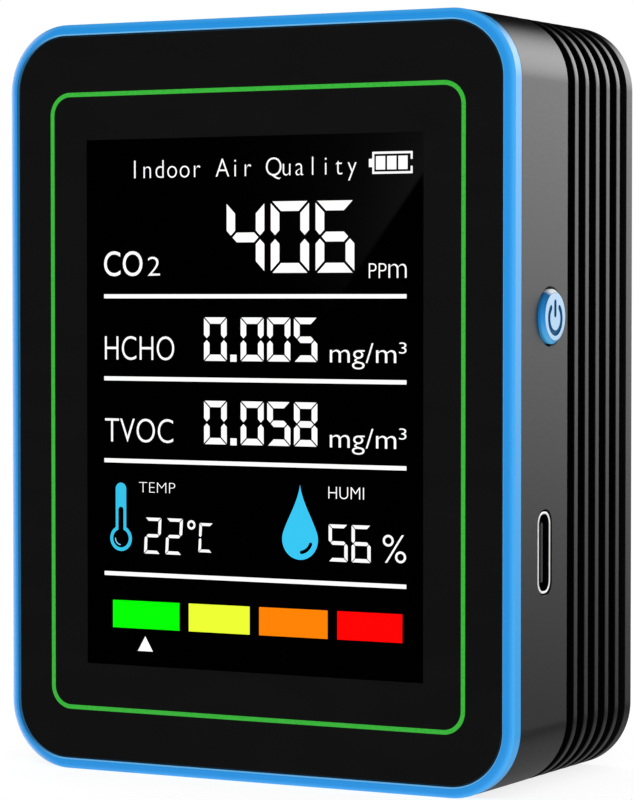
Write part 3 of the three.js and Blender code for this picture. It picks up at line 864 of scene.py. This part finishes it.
def bezel_frame():
    """The blue frame, with the shelf that carries the window and the skirt that locates it."""
    bed = PANEL.far + TAPE
    skirt_inner = SKIRT_INSET + SKIRT
    upright = -math.pi / 2
    crown_inset = BEZEL_CROWN * math.sin(CROWN_TURN)
    profile = arc(crown_inset, BEZEL_CROWN, BEZEL_CROWN, upright - CROWN_TURN, upright, 8)
    profile += rounded([
        (RIM - BEZEL_CHAMFER, 0, 0),
        (RIM, BEZEL_CHAMFER, BEZEL_CHAMFER / 3),
        (RIM, bed, 0),
        (LEDGE_INSET, bed, INNER_EDGE),
        (LEDGE_INSET, LEDGE_FAR, INNER_EDGE),
        (skirt_inner, LEDGE_FAR, 0),
        (skirt_inner, BEZEL.far, INNER_EDGE),
        (SKIRT_INSET, BEZEL.far, SKIRT_EDGE),
        (SKIRT_INSET, HOUSING.near, 0),
        (0, HOUSING.near, BEZEL_JOINT_EDGE),
    ])
    piece = swept_round_case("bezel_frame", profile, ring=True)
    finish_piece(piece, "blue_plastic", ["front_bezel"])

    def on_chamfer(face):
        in_front = face.center.y < FRONT + BEZEL_CHAMFER * MM
        return in_front and inset_of(face.center) > RIM - BEZEL_CHAMFER

    # the chamfer round the window gets the painted highlight and shade
    repaint(piece, bezel_chamfer_painted_light(), on_chamfer)


def groove_near(row):
    return GROOVE_NEAR + row * GROOVE_PITCH


def housing_profile():
    """The wall of the housing in inset and depth: a smooth band, then the ribs and grooves."""
    corners = [
        (WALL, HOUSING.far, INNER_EDGE),
        (WALL, HOUSING.near, INNER_EDGE),
        (0, HOUSING.near, HOUSING_JOINT_EDGE),
    ]
    for row in range(GROOVES):
        near = groove_near(row)
        far = near + GROOVE_WIDTH
        corners += [(0, near, RIB_EDGE), (GROOVE_DEPTH, near, RIB_EDGE)]
        if row < GROOVES - 1:
            corners += [(GROOVE_DEPTH, far, RIB_EDGE), (0, far, RIB_EDGE)]
    corners.append((GROOVE_DEPTH, HOUSING.far, RIB_EDGE / 2))
    return rounded(corners)


def vent_tools():
    """Cutters for the air slots in the groove floors: right and top, then left and bottom."""
    tools = []
    for row in range(VENT_ROWS):
        side = 1 if row % 2 == 0 else -1
        near = groove_near(row) + (GROOVE_WIDTH - VENT_WIDTH) / 2
        wall_x = side * (HOUSING.right - GROOVE_DEPTH - WALL / 2)
        wall_z = HOUSING.z + side * (HOUSING.height / 2 - GROOVE_DEPTH - WALL / 2)
        for count, length, across in ((*SIDE_VENTS, False), (*END_VENTS, True)):
            for slot in range(count):
                offset = (slot - (count - 1) / 2) * (length + VENT_GAP)
                x, z = (offset, wall_z) if across else (wall_x, HOUSING.z + offset)
                width, height = (length, 2 * WALL) if across else (2 * WALL, length)
                outline = rounded_rectangle(width, height, VENT_CORNER, x, z, EDGE_STEPS)
                tools.append(prism("vent", outline, facing_back(0, 0), near, near + VENT_WIDTH))
    return tools


def wall_tool(name, outline_at, to_point, flare):
    """A cutter through the right wall that opens out by flare at the surface."""
    surface = HOUSING.right
    inner, outer = surface - 2 * WALL, surface + flare
    profile = [(0, inner), (0, surface - flare), (-flare, surface), (-2 * flare, outer)]
    return swept(name, profile, outline_at, to_point)


def button_hole_outline(inset):
    return circle(BUTTON_HOLE - inset)


def port_outline(inset):
    """The mouth of the port in depth and z about its middle, moved inwards."""
    short = PORT.far - PORT.near - 2 * inset
    long = PORT.height - 2 * inset
    return rounded_rectangle(short, long, PORT_ROUND * short / 2)


def port_hole_outline(inset):
    return port_outline(inset - PORT_GAP)


def ribbed_housing():
    """The grooved tube, with its air slots and the holes for the button and the port."""
    piece = swept_round_case("ribbed_housing", housing_profile(), ring=True)
    at_button = facing_right(BUTTON.depth, BUTTON.z)
    at_port = facing_right(PORT.depth, PORT.z)
    button_hole = wall_tool("button_hole", button_hole_outline, at_button, BUTTON_HOLE_FLARE)
    port_hole = wall_tool("port_hole", port_hole_outline, at_port, PORT_FLARE)
    combine(piece, [button_hole, port_hole, *vent_tools()])
    finish_piece(piece, "case_plastic", ["housing"])
    # faces down in the grooves get the painted shade
    repaint(piece, groove_painted_shade(), lambda face: inset_of(face.center) > RIB_EDGE)


def window_panel():
    """The window, with a fine chamfer round both of its faces."""
    inset = HOUSING.right - PANEL.right
    profile = [
        (inset + PANEL_EDGE, PANEL.near),
        (inset, PANEL.near + PANEL_EDGE),
        (inset, PANEL.far - PANEL_EDGE),
        (inset + PANEL_EDGE, PANEL.far),
    ]
    finish_piece(swept_round_case("window_panel", profile), "window", ["front_panel"])


def back_cover():
    """The rear cover: a plate with its lip, screw counterbores and air slots."""
    plate = rounded([
        (LEDGE_INSET, HOUSING.far, 0),
        (0, HOUSING.far, COVER_JOINT_EDGE),
        (0, COVER.far, REAR_EDGE),
        (LEDGE_INSET, COVER.far, 0),
    ], closed=False)
    piece = swept_round_case("back_cover", plate)
    lip_root, lip_end = HOUSING.far + LIP_OVERLAP, COVER.near + LIP_SHORT
    lip = rounded([
        (SKIRT_INSET, lip_root, 0),
        (SKIRT_INSET, lip_end, SKIRT_EDGE),
        (SKIRT_INSET + SKIRT, lip_end, SKIRT_EDGE),
        (SKIRT_INSET + SKIRT, lip_root, 0),
    ])
    combine(piece, [swept_round_case("lip", lip, ring=True)], "UNION")
    slot_rows = [row - (REAR_SLOTS - 1) / 2 for row in range(REAR_SLOTS)]
    slots = [rear_slot_tool(REAR_SLOTS_Z + row * REAR_SLOT_PITCH) for row in slot_rows]
    combine(piece, [counterbore_tool(extent(name)) for name in REAR_SCREWS] + slots)
    finish_piece(piece, "case_plastic", ["rear_cover"])


def counterbore_tool(screw):
    """A cutter for a screw's hole and counterbore, with a small chamfer at the outer face."""
    profile = [
        (SCREW_HOLE, COVER.near - 1),
        (SCREW_HOLE, SCREW_SEAT),
        (COUNTERBORE, SCREW_SEAT),
        (COUNTERBORE, COVER.far - REAR_CHAMFER),
        (COUNTERBORE + 2 * REAR_CHAMFER, COVER.far + REAR_CHAMFER),
    ]
    return swept("counterbore", profile, small_circle, facing_back(screw.x, screw.z))


def rear_slot_tool(z):
    """A cutter for an air slot with a small chamfer at the outer face."""

    def outline(inset):
        width, height = REAR_SLOT_WIDTH - 2 * inset, REAR_SLOT_HEIGHT - 2 * inset
        return rounded_rectangle(width, height, height / 2, steps=8)

    profile = [
        (0, HOUSING.far - 1),
        (0, COVER.far - REAR_CHAMFER),
        (-2 * REAR_CHAMFER, COVER.far + REAR_CHAMFER),
    ]
    return swept("air_slot", profile, outline, facing_back(0, z))


def cover_screws():
    """Pan head screws with a cross recess, in the counterbores of the cover."""
    for name in REAR_SCREWS:
        node = extent(name)
        head = node.width / 2
        profile = rounded([
            (HUB, node.near, 0),
            (SCREW_TIP, node.near, 0),
            (SCREW_SHANK, node.near + SCREW_SHANK, 0),
            (SCREW_SHANK, SCREW_SEAT, 0),
            (head, SCREW_SEAT, SCREW_HEAD_EDGE),
            (head, node.far, SCREW_HEAD_DOME),
            (HUB, node.far, 0),
        ], closed=False)
        to_point = facing_back(node.x, node.z)
        piece = swept(name.replace("rear", "cover"), profile, small_circle, to_point)
        combine(piece, cross_tools(to_point, node.far))
        finish_piece(piece, "dark_steel", [name])


def cross_tools(to_point, far):
    """Two tapered blades that cut a cross recess into a screw head."""
    length, width, depth, taper = 1.1, 0.26, 0.6, 0.4
    tools = []
    for turned in (False, True):

        def outline(inset, turned=turned):
            long, short = length - inset, width - inset / 4
            across, up = (short, long) if turned else (long, short)
            return [(-across, -up), (across, -up), (across, up), (-across, up)]

        profile = [(taper, far - depth), (0, far + 0.1)]
        tools.append(swept("blade", profile, outline, to_point))
    return [combine(tools[0], tools[1:], "UNION")]


# ---------------------------------------------------------------- power button and port


def symbol_outlines():
    """The power symbol in depth and z: a ring open at the top, and a bar in the gap."""
    quarter = math.pi / 2
    start, end = quarter + SYMBOL_GAP, 5 * quarter - SYMBOL_GAP
    ring = arc_band(0, -SYMBOL_DROP, SYMBOL_RADIUS, SYMBOL_STROKE, start, end)
    top, bottom = SYMBOL_BAR
    height, middle = top - bottom, (top + bottom) / 2
    bar = rounded_rectangle(SYMBOL_STROKE, height, SYMBOL_STROKE / 2.01, 0, middle, 6)
    return [ring, bar]


def button_cap():
    """The button: its flange and stem, the chamfered cap and the symbol pressed into its face."""
    face = BUTTON.right
    flange = BUTTON.height / 2
    shoulder_round, face_round = BUTTON_ROUNDS
    profile = rounded([
        (HUB, BUTTON.left, 0),
        (flange, BUTTON.left, 0),
        (flange, BUTTON.left + FLANGE_THICKNESS, 0),
        (BUTTON_RADIUS, BUTTON.left + FLANGE_THICKNESS, 0),
        (BUTTON_RADIUS, face - BUTTON_EDGE, shoulder_round),
        (BUTTON_FACE, face, face_round),
        (HUB, face, 0),
    ], closed=False)
    to_point = facing_right(BUTTON.depth, BUTTON.z)
    piece = swept("button_cap", profile, circle, to_point)
    tools = [prism("groove", o, to_point, face - SYMBOL_DEPTH, face + 1) for o in symbol_outlines()]
    combine(piece, tools)
    # the chamfer's material carries painted light, shade and a highlight
    finish_piece(piece, "blue_plastic", ["power_button"], "power_button", button_chamfer_painted_light())
    repaint(piece, symbol_blue(), lambda side: in_button_face(side, SYMBOL_DEPTH + 0.01))
    repaint(piece, button_face(), lambda side: in_button_face(side, 0.03) and side.normal.x > 0.98)


def in_button_face(side, depth):
    """Whether a side of the mesh lies in the button's face or its rim, down to a depth."""
    out = (side.center - place(BUTTON.right, BUTTON.depth, BUTTON.z)) / MM
    return math.hypot(out.y, out.z) < BUTTON_FACE + FACE_RIM and out.x > -depth


def port_shell():
    """The shell of the receptacle in dark steel as painted shade inside it, with its rim rounded over
    and painted bright as a highlight.
    """
    profile = rounded([
        (0, PORT.left, 0),
        (0, PORT.right, PORT_RIM_EDGE),
        (PORT_WALL, PORT.right, PORT_RIM_EDGE),
        (PORT_WALL, PORT.left, 0),
    ])
    to_point = facing_right(PORT.depth, PORT.z)
    piece = swept("port_shell", profile, port_outline, to_point, ring=True)
    # dark steel instead of the slot's steel: painted shade inside the port
    finish_piece(piece, "steel", ["usb_shell"], material=SLOTS["dark_steel"])
    repaint(piece, painted_highlight_rim(), lambda face: face.normal.x > 0.5)


def port_tongue():
    """The insulator: a plug across the shell and the tongue that carries the contacts."""
    to_point = facing_right(TONGUE.depth, TONGUE.z)
    root_end = TONGUE.left + TONGUE_ROOT
    root_inset = PORT_WALL + 0.1
    root_profile = [(root_inset, TONGUE.left), (root_inset, root_end)]
    root = swept("port_tongue", root_profile, port_outline, to_point)

    def tongue_outline(inset):
        short, long = TONGUE_SHORT - 2 * inset, TONGUE_LONG - 2 * inset
        return rounded_rectangle(short, long, short / 2.2, steps=6)

    tip = [(0, root_end - 0.1), (0, TONGUE.right - TONGUE_TIP), (0.1, TONGUE.right)]
    piece = combine(root, [swept("tip", tip, tongue_outline, to_point)], "UNION")
    finish_piece(piece, "black_plastic", ["usb_insulator"])
    finish_piece(port_contacts(root_end, to_point), "gold_plate")


def port_contacts(root_end, to_point):
    """Twelve gilded pads on either face of the tongue."""
    tip = TONGUE.right - CONTACT_END
    pads = []
    for side in (-1, 1):
        for index in range(CONTACTS):
            z = (index - (CONTACTS - 1) / 2) * CONTACT_PITCH
            face = side * TONGUE_SHORT / 2
            pad = rounded_rectangle(CONTACT_THICKNESS, CONTACT_WIDTH, CONTACT_CORNER, face, z, 2)
            pads.append(prism("port_contacts", pad, to_point, root_end, tip))
    return joined(pads)


# ---------------------------------------------------------------- display


class Print:
    """Flat marks on the window, gathered into one piece."""

    def __init__(self, proud=MARK_PROUD):
        self.mesh = bmesh.new()
        self.near = PANEL.near - proud
        self.far = PANEL.near + MARK_SUNK

    def loops(self, outline):
        return [[place(x, depth, z) for x, z in outline] for depth in (self.near, self.far)]

    def fill(self, outline):
        add_loft(self.mesh, self.loops(outline), ring=False)

    def bar(self, left, right, bottom, top):
        self.fill([(left, bottom), (right, bottom), (right, top), (left, top)])

    def ring(self, outer, inner):
        add_loft(self.mesh, self.loops(outer) + self.loops(inner)[::-1], ring=True)

    def text(self, words, left, right, baseline, cap, weight=0.0):
        """Words from left to right, with capitals of the height cap."""
        data = glyph_mesh(words, weight)
        start, end = span(data)
        self.write(data, left, (right - left) / (end - start), baseline, cap)

    def letter(self, letter, middle, baseline, cap, squeeze, weight):
        """One letter about its middle, squeezed to a share of the font's width."""
        data = glyph_mesh(letter, weight)
        start, end = span(data)
        stretch = squeeze * cap / CAPITAL
        self.write(data, middle - (end - start) * stretch / 2, stretch, baseline, cap)

    def write(self, data, left, stretch, baseline, cap):
        """Lays a mesh of glyphs on the window."""
        start = span(data)[0]
        rise = cap / CAPITAL
        thickness = (self.far - self.near) / GLYPH_DEPTH
        for vertex in data.vertices:
            x, up, out = vertex.co
            depth = (self.near + self.far) / 2 - out * thickness
            vertex.co = place(left + (x - start) * stretch, depth, baseline + up * rise)
        self.mesh.from_mesh(data)
        bpy.data.meshes.remove(data)

    def piece(self, name, material, slot=None):
        finish_piece(new_object(name, self.mesh), slot, material=material)


def span(data):
    """The left and right limits of a mesh."""
    xs = [vertex.co.x for vertex in data.vertices]
    return min(xs), max(xs)


def glyph_mesh(words, weight):
    """The mesh of a line of text at size 1, with its strokes made heavier or lighter."""
    curve = bpy.data.curves.new("words", "FONT")
    curve.body = words
    curve.offset = weight
    curve.extrude = GLYPH_DEPTH / 2
    curve.resolution_u = 5
    holder = bpy.data.objects.new("words", curve)
    bpy.context.scene.collection.objects.link(holder)
    evaluated = holder.evaluated_get(bpy.context.evaluated_depsgraph_get())
    data = bpy.data.meshes.new_from_object(evaluated)
    bpy.data.objects.remove(holder)
    bpy.data.curves.remove(curve)
    return data


def segment_outlines(digits):
    """The seven segments of a digit about its lower left corner, by their usual letters."""
    right, top, stroke = digits.width, digits.height, digits.stroke
    middle, half = top / 2, stroke / 2
    inner, low, high = right - stroke, middle - half, middle + half
    left_point, right_point = (half, middle), (right - half, middle)
    under, over = (stroke, top - stroke), (inner, top - stroke)
    whole = {
        "a": [(0, top), (right, top), over, under],
        "b": [(right, top), over, (inner, high), right_point, (right, high)],
        "c": [(right, 0), (right, low), right_point, (inner, low), (inner, stroke)],
        "d": [(0, 0), (right, 0), (inner, stroke), (stroke, stroke)],
        "e": [(0, 0), (stroke, stroke), (stroke, low), left_point, (0, low)],
        "f": [(0, top), (0, high), left_point, (stroke, high), under],
        "g": [left_point, (stroke, high), (inner, high), right_point, (inner, low), (stroke, low)],
    }
    return {letter: shrunk(outline, digits.gap / 2) for letter, outline in whole.items()}


def draw_digits(marks, text, digits, left, bottom):
    """Seven-segment digits, with a decimal point as a small square."""
    shapes = segment_outlines(digits)
    point_size, point_gap = 0.92 * digits.stroke, 0.09
    x = left
    for character in text:
        if character == ".":
            point_left = x + point_gap
            marks.bar(point_left, point_left + point_size, bottom, bottom + point_size)
            x += 1.55 * digits.stroke
            continue
        for letter in SEGMENTS_LIT[character]:
            corners = shapes[letter]
            marks.fill([(x + across + digits.lean * up, bottom + up) for across, up in corners])
        x += digits.pitch


def draw_rules(marks):
    heights = [FIRST_RULE - row * ROW_PITCH for row in range(3)] + [LAST_RULE]
    for z in heights:
        marks.bar(ROW_LEFT, ROW_RIGHT, z - RULE / 2, z + RULE / 2)


def draw_title(marks):
    """A generic title with one letter to a cell, narrower than the font's own letters."""
    baseline = GLASS.z + 25.2
    for index, letter in enumerate(TITLE):
        if letter != " ":
            middle = TITLE_LEFT + (index + 0.5) * TITLE_PITCH
            marks.letter(letter, middle, baseline, cap=2.2, squeeze=0.92, weight=-0.014)


def square_stroke(path, stroke):
    """The outline of an open path of straight level and upright runs, with mitred corners."""
    left, right = [], []
    for index, point in enumerate(path):
        before = path[max(index - 1, 0)]
        after = path[min(index + 1, len(path) - 1)]
        offset = Vector((0, 0))
        for start, end in ((before, point), (point, after)):
            along = Vector(end) - Vector(start)
            if along.length > 0:
                along.normalize()
                side = Vector((-along.y, along.x)) * stroke / 2
                if abs(offset.dot(side)) < 1e-9:
                    offset += side
        left.append(tuple(Vector(point) + offset))
        right.append(tuple(Vector(point) - offset))
    return left + right[::-1]


def draw_battery(marks):
    """The battery's outline, open at the right, with three full cells in it."""
    left, right = GLASS.x + 15.1, GLASS.x + 20.0
    bottom, top = GLASS.z + 25.2, GLASS.z + 27.6
    stroke, cell_pitch, cell_width = 0.24, 1.36, 1.12
    half = stroke / 2
    break_low, break_high = bottom + 0.8, top - 0.85
    path = [
        (right - half, break_high),
        (right - half, top - half),
        (left + half, top - half),
        (left + half, bottom + half),
        (right - half, bottom + half),
        (right - half, break_low),
    ]
    marks.fill(square_stroke(path, stroke))
    marks.bar(left - 0.42, left + half, bottom + 0.75, top - 0.75)
    for cell in range(3):
        cell_left = left + 0.45 + cell * cell_pitch
        marks.bar(cell_left, cell_left + cell_width, bottom + 0.46, top - 0.48)


def draw_carbon_dioxide(marks):
    """The carbon dioxide reading, above the first rule."""
    name_z, unit_z = FIRST_RULE + 2.3, FIRST_RULE + 1.93
    marks.text("CO", ROW_LEFT, ROW_LEFT + 5.1, name_z, cap=2.95)
    marks.text("2", ROW_LEFT + 5.8, ROW_LEFT + 7.4, name_z, cap=2.3, weight=-0.012)
    draw_digits(marks, "406", CO2_DIGITS, GLASS.x - 3.29, FIRST_RULE + 2.43)
    marks.text("PP", ROW_RIGHT - 4.6, ROW_RIGHT - 2.45, unit_z, cap=1.8, weight=-0.016)
    marks.text("m", ROW_RIGHT - 2.2, ROW_RIGHT, unit_z, cap=2.6, weight=-0.016)


def draw_gas_row(marks, row, name, name_width, value):
    """A gas, its reading and its unit, above the rule of its row."""
    rule = FIRST_RULE - row * ROW_PITCH
    name_left = ROW_LEFT + 0.1
    marks.text(name, name_left, name_left + name_width, rule + 2.1, cap=2.9, weight=-0.011)
    draw_digits(marks, value, GAS_DIGITS, GLASS.x - 6.15, rule + 2.03)
    marks.text("mg/m", ROW_RIGHT - 9.4, ROW_RIGHT - 1.25, rule + 2.05, cap=2.3, weight=-0.008)
    marks.text("3", ROW_RIGHT - 0.9, ROW_RIGHT, rule + 3.1, cap=1.3, weight=-0.008)


def draw_climate(marks):
    """The temperature and the humidity, side by side."""
    digits_z = LAST_RULE + 2.36
    label_z = LAST_RULE + 9.27
    degree_x, degree_z = GLASS.x - 7.74, LAST_RULE + 5.83
    marks.text("TEMP", GLASS.x - 14.6, GLASS.x - 9.85, label_z, cap=1.32, weight=-0.024)
    draw_digits(marks, "22", TEMPERATURE_DIGITS, GLASS.x - 14.0, digits_z)
    marks.ring(
        rounded_rectangle(1.06, 1.06, 0.529, degree_x, degree_z, 10),
        rounded_rectangle(0.54, 0.54, 0.269, degree_x, degree_z, 10),
    )
    draw_digits(marks, "C", CELSIUS_DIGITS, GLASS.x - 6.88, digits_z + 0.41)
    marks.text("HUMI", GLASS.x + 9.7, GLASS.x + 14.1, label_z, cap=1.45, weight=-0.016)
    draw_digits(marks, "56", HUMIDITY_DIGITS, GLASS.x + 9.68, digits_z)
    marks.text("%", GLASS.x + 16.4, GLASS.x + 19.25, digits_z + 0.17, cap=3.25, weight=-0.008)


def draw_pointer(marks):
    """The triangle below the level that applies."""
    x, bottom = GLASS.x - 13.8, LAST_RULE - 8.67
    marks.fill([(x - 1.0, bottom), (x + 1.0, bottom), (x, bottom + 1.7)])


def reading_marks():
    """Everything on the display that is lit white."""
    marks = Print()
    draw_rules(marks)
    draw_title(marks)
    draw_battery(marks)
    draw_carbon_dioxide(marks)
    draw_gas_row(marks, 1, "HCHO", 9.15, "0.005")
    draw_gas_row(marks, 2, "TVOC", 9.0, "0.058")
    draw_climate(marks)
    draw_pointer(marks)
    marks.piece("reading_marks", lit("lit_white", (1.0, 1.0, 1.0)))


def level_bars():
    """The scale from good to bad: four coloured bars."""
    for name, (left, right, colour) in LEVELS.items():
        marks = Print()
        marks.bar(GLASS.x + left, GLASS.x + right, LAST_RULE - 6.14, LAST_RULE - 3.0)
        marks.piece(f"level_bar_{name}", lit(f"lit_{name}", colour))


def drop_side(steps=20):
    """The right side of a droplet about the middle of its bulb, from its tip downwards."""
    radius, shoulder = 2.25, math.radians(22)
    tip, low = Vector((0, 6.03)), radius * Vector((math.cos(shoulder), math.sin(shoulder)))
    handles = [tip, Vector((0.25, 4.2)), Vector((1.35, 2.7)), low]
    points = []
    for step in range(steps):
        t = step / steps
        weights = [(1 - t) ** 3, 3 * t * (1 - t) ** 2, 3 * t**2 * (1 - t), t**3]
        points.append(sum((w * h for w, h in zip(weights, handles)), Vector((0, 0))))
    return [tuple(point) for point in points] + arc(0, 0, radius, shoulder, -math.pi / 2, 20)


def icon_marks():
    """The thermometer and the droplet, with the dark shapes drawn on them."""
    marks, dark = Print(), Print(2 * MARK_PROUD)
    drop_x, drop_z = GLASS.x + 6.15, LAST_RULE + 4.68
    side = drop_side()
    drop = side + [(-x, z) for x, z in side[-2:0:-1]]
    marks.fill([(drop_x + x, drop_z + z) for x, z in drop])
    marks.piece("droplet_mark", lit("lit_sky_blue", (0.038, 0.56, 0.88)))
    dark.fill(arc_band(drop_x, drop_z, 1.42, 0.4, math.radians(-82), math.radians(-20)))
    draw_thermometer(dark)
    dark.piece("icon_dark_print", DISPLAY_BLACK)


def thermometer_outline(x, z, bulb, half_stem, top):
    """A round bulb with a round-ended stem standing on it."""
    neck = math.asin(half_stem / bulb)
    quarter = math.pi / 2
    return [
        *arc(x, z, bulb, quarter + neck, 5 * quarter - neck, 40),
        *arc(x, top - half_stem, half_stem, 0, 2 * quarter, 12),
    ]


def draw_thermometer(dark):
    """The thermometer, the dark tube inside it and the glint on its bulb."""
    x, z = GLASS.x - 17.0, LAST_RULE + 4.01
    stem, glint = Print(), Print(3 * MARK_PROUD)
    stem.fill(thermometer_outline(x, z, 1.44, 0.7, LAST_RULE + 10.33))
    dark.fill(thermometer_outline(x, z, 1.03, 0.33, LAST_RULE + 7.6))
    glint.fill(arc_band(x, z, 0.72, 0.12, math.radians(180), math.radians(262)))
    glint.piece("thermometer_glint", lit("lit_pale_cyan", (0.25, 0.62, 0.82)))
    stem.piece("thermometer_mark", lit("lit_cyan", (0.035, 0.53, 0.80)))


def frame_line():
    """The green line printed round the display."""

    def outline(inset):
        width, height = LINE.width - 2 * inset, LINE.height - 2 * inset
        return rounded_rectangle(width, height, LINE_CORNER - inset, LINE.x, LINE.z, 12)

    line = Print()
    line.ring(outline(0), outline(LINE_STROKE))
    line.piece("frame_line", green_print())


def display_area():
    """The clear part of the window, hardly proud of it and blacker than its printed border, with the
    painted glare of its material.
    """
    area = Print(MARK_PROUD / 2)
    area.bar(AREA.left, AREA.right, AREA.bottom, AREA.top)
    area.piece("display_area", DISPLAY_BLACK, "display_glass")


# ---------------------------------------------------------------- studio


def floor():
    """A plain pale floor, bright enough to be even."""
    mesh = bmesh.new()
    bmesh.ops.create_grid(mesh, x_segments=1, y_segments=1, size=FLOOR_SIZE * MM)
    piece = new_object("floor", mesh)
    piece.location.z = -FLOOR_DROP * MM
    finish = Finish("floor", roughness=0.9)
    finish.colour(finish.noise(40.0), grey(0.29), grey(0.31))
    finish.glow(grey(1), FLOOR_GLOW)
    piece.data.materials.append(finish.material)
    piece.visible_glossy = False


def key_light():
    """A square soft light, high on the right, that looks at the middle of the case."""
    light = bpy.data.lights.new("key_light", "AREA")
    light.size = KEY_SIZE * MM
    light.energy = KEY_POWER
    holder = bpy.data.objects.new("key_light", light)
    bpy.context.scene.collection.objects.link(holder)
    back = direction(KEY_AZIMUTH, KEY_ELEVATION)
    holder.location = place(0, HOUSING.depth, HOUSING.z) + back * KEY_DISTANCE * MM
    holder.rotation_euler = (-back).to_track_quat("-Z", "Y").to_euler()
    holder.visible_glossy = False


def direction(azimuth, elevation):
    """The way to something at an azimuth round from the front to the right, in degrees."""
    a, e = math.radians(azimuth), math.radians(elevation)
    return Vector((math.sin(a) * math.cos(e), -math.cos(a) * math.cos(e), math.sin(e)))


def studio_world():
    """White behind the object, even light on it, and glows at the right, left and below.

    Only gloss sees the glows. The kinds of ray are told apart, so the world is left out of the
    sampling of lights.
    """
    world = bpy.data.worlds.new("studio")
    bpy.context.scene.world = world
    world.cycles.sampling_method = "NONE"
    world.use_nodes = True
    world.node_tree.nodes.clear()
    nodes = Nodes(world.node_tree)
    way = nodes.node("ShaderNodeTexCoord").outputs["Generated"]
    height = nodes.part(way, "Z")
    rise = eased(nodes, height, GLOW_RISE, GLOW_STRENGTH)
    right = nodes.math("MULTIPLY", sector(nodes, way, GLOW_AZIMUTH, GLOW_SIDE), rise)
    left = nodes.math("MULTIPLY", sector(nodes, way, LEFT_AZIMUTH, LEFT_SIDE), LEFT_STRENGTH)
    low = eased(nodes, height, LOW_RISE, LOW_STRENGTH)
    gloss = background(nodes, nodes.math("ADD", nodes.math("ADD", right, left), low))
    ray = nodes.node("ShaderNodeLightPath").outputs
    lit_evenly = blended(nodes, ray["Is Diffuse Ray"], gloss, background(nodes, AMBIENT))
    seen = blended(nodes, ray["Is Camera Ray"], lit_evenly, background(nodes, 1.0))
    nodes.node("ShaderNodeOutputWorld", {"Surface": seen})


def sector(nodes, way, azimuth, between):
    """1 towards an azimuth, falling to 0 between two cosines of the angle away from it."""
    facing = nodes.vector("DOT_PRODUCT", way, tuple(direction(azimuth, 0)))
    return eased(nodes, facing, between, (0, 1))


def eased(nodes, value, between, results):
    """value, taken smoothly from one pair of limits to another."""
    return nodes.ramp(value, *between, *results, kind="SMOOTHSTEP")


def background(nodes, strength):
    values = {"Color": (1, 1, 1, 1), "Strength": strength}
    return nodes.node("ShaderNodeBackground", values).outputs[0]


def blended(nodes, factor, first, second):
    return nodes.node("ShaderNodeMixShader", {0: factor, 1: first, 2: second}).outputs[0]


def camera():
    """The camera of the picture: nearly level, a little to the right, with a long lens."""
    data = bpy.data.cameras.new("camera")
    data.lens = CAMERA_LENS
    data.clip_start = 0.02
    holder = bpy.data.objects.new("camera", data)
    bpy.context.scene.collection.objects.link(holder)
    back = direction(CAMERA_AZIMUTH, CAMERA_ELEVATION)
    holder.location = place(*CAMERA_AIM) + back * CAMERA_DISTANCE * MM
    holder.rotation_mode = "QUATERNION"
    holder.rotation_quaternion = (-back).to_track_quat("-Z", "Y")
    bpy.context.scene.camera = holder


def studio():
    floor()
    key_light()
    studio_world()
    camera()
    bpy.context.scene.view_settings.view_transform = "Standard"


# ---------------------------------------------------------------- the scene

paint_cad_nodes()
bezel_frame()
ribbed_housing()
window_panel()
back_cover()
cover_screws()
button_cap()
port_shell()
port_tongue()
display_area()
frame_line()
reading_marks()
level_bars()
icon_marks()
studio()
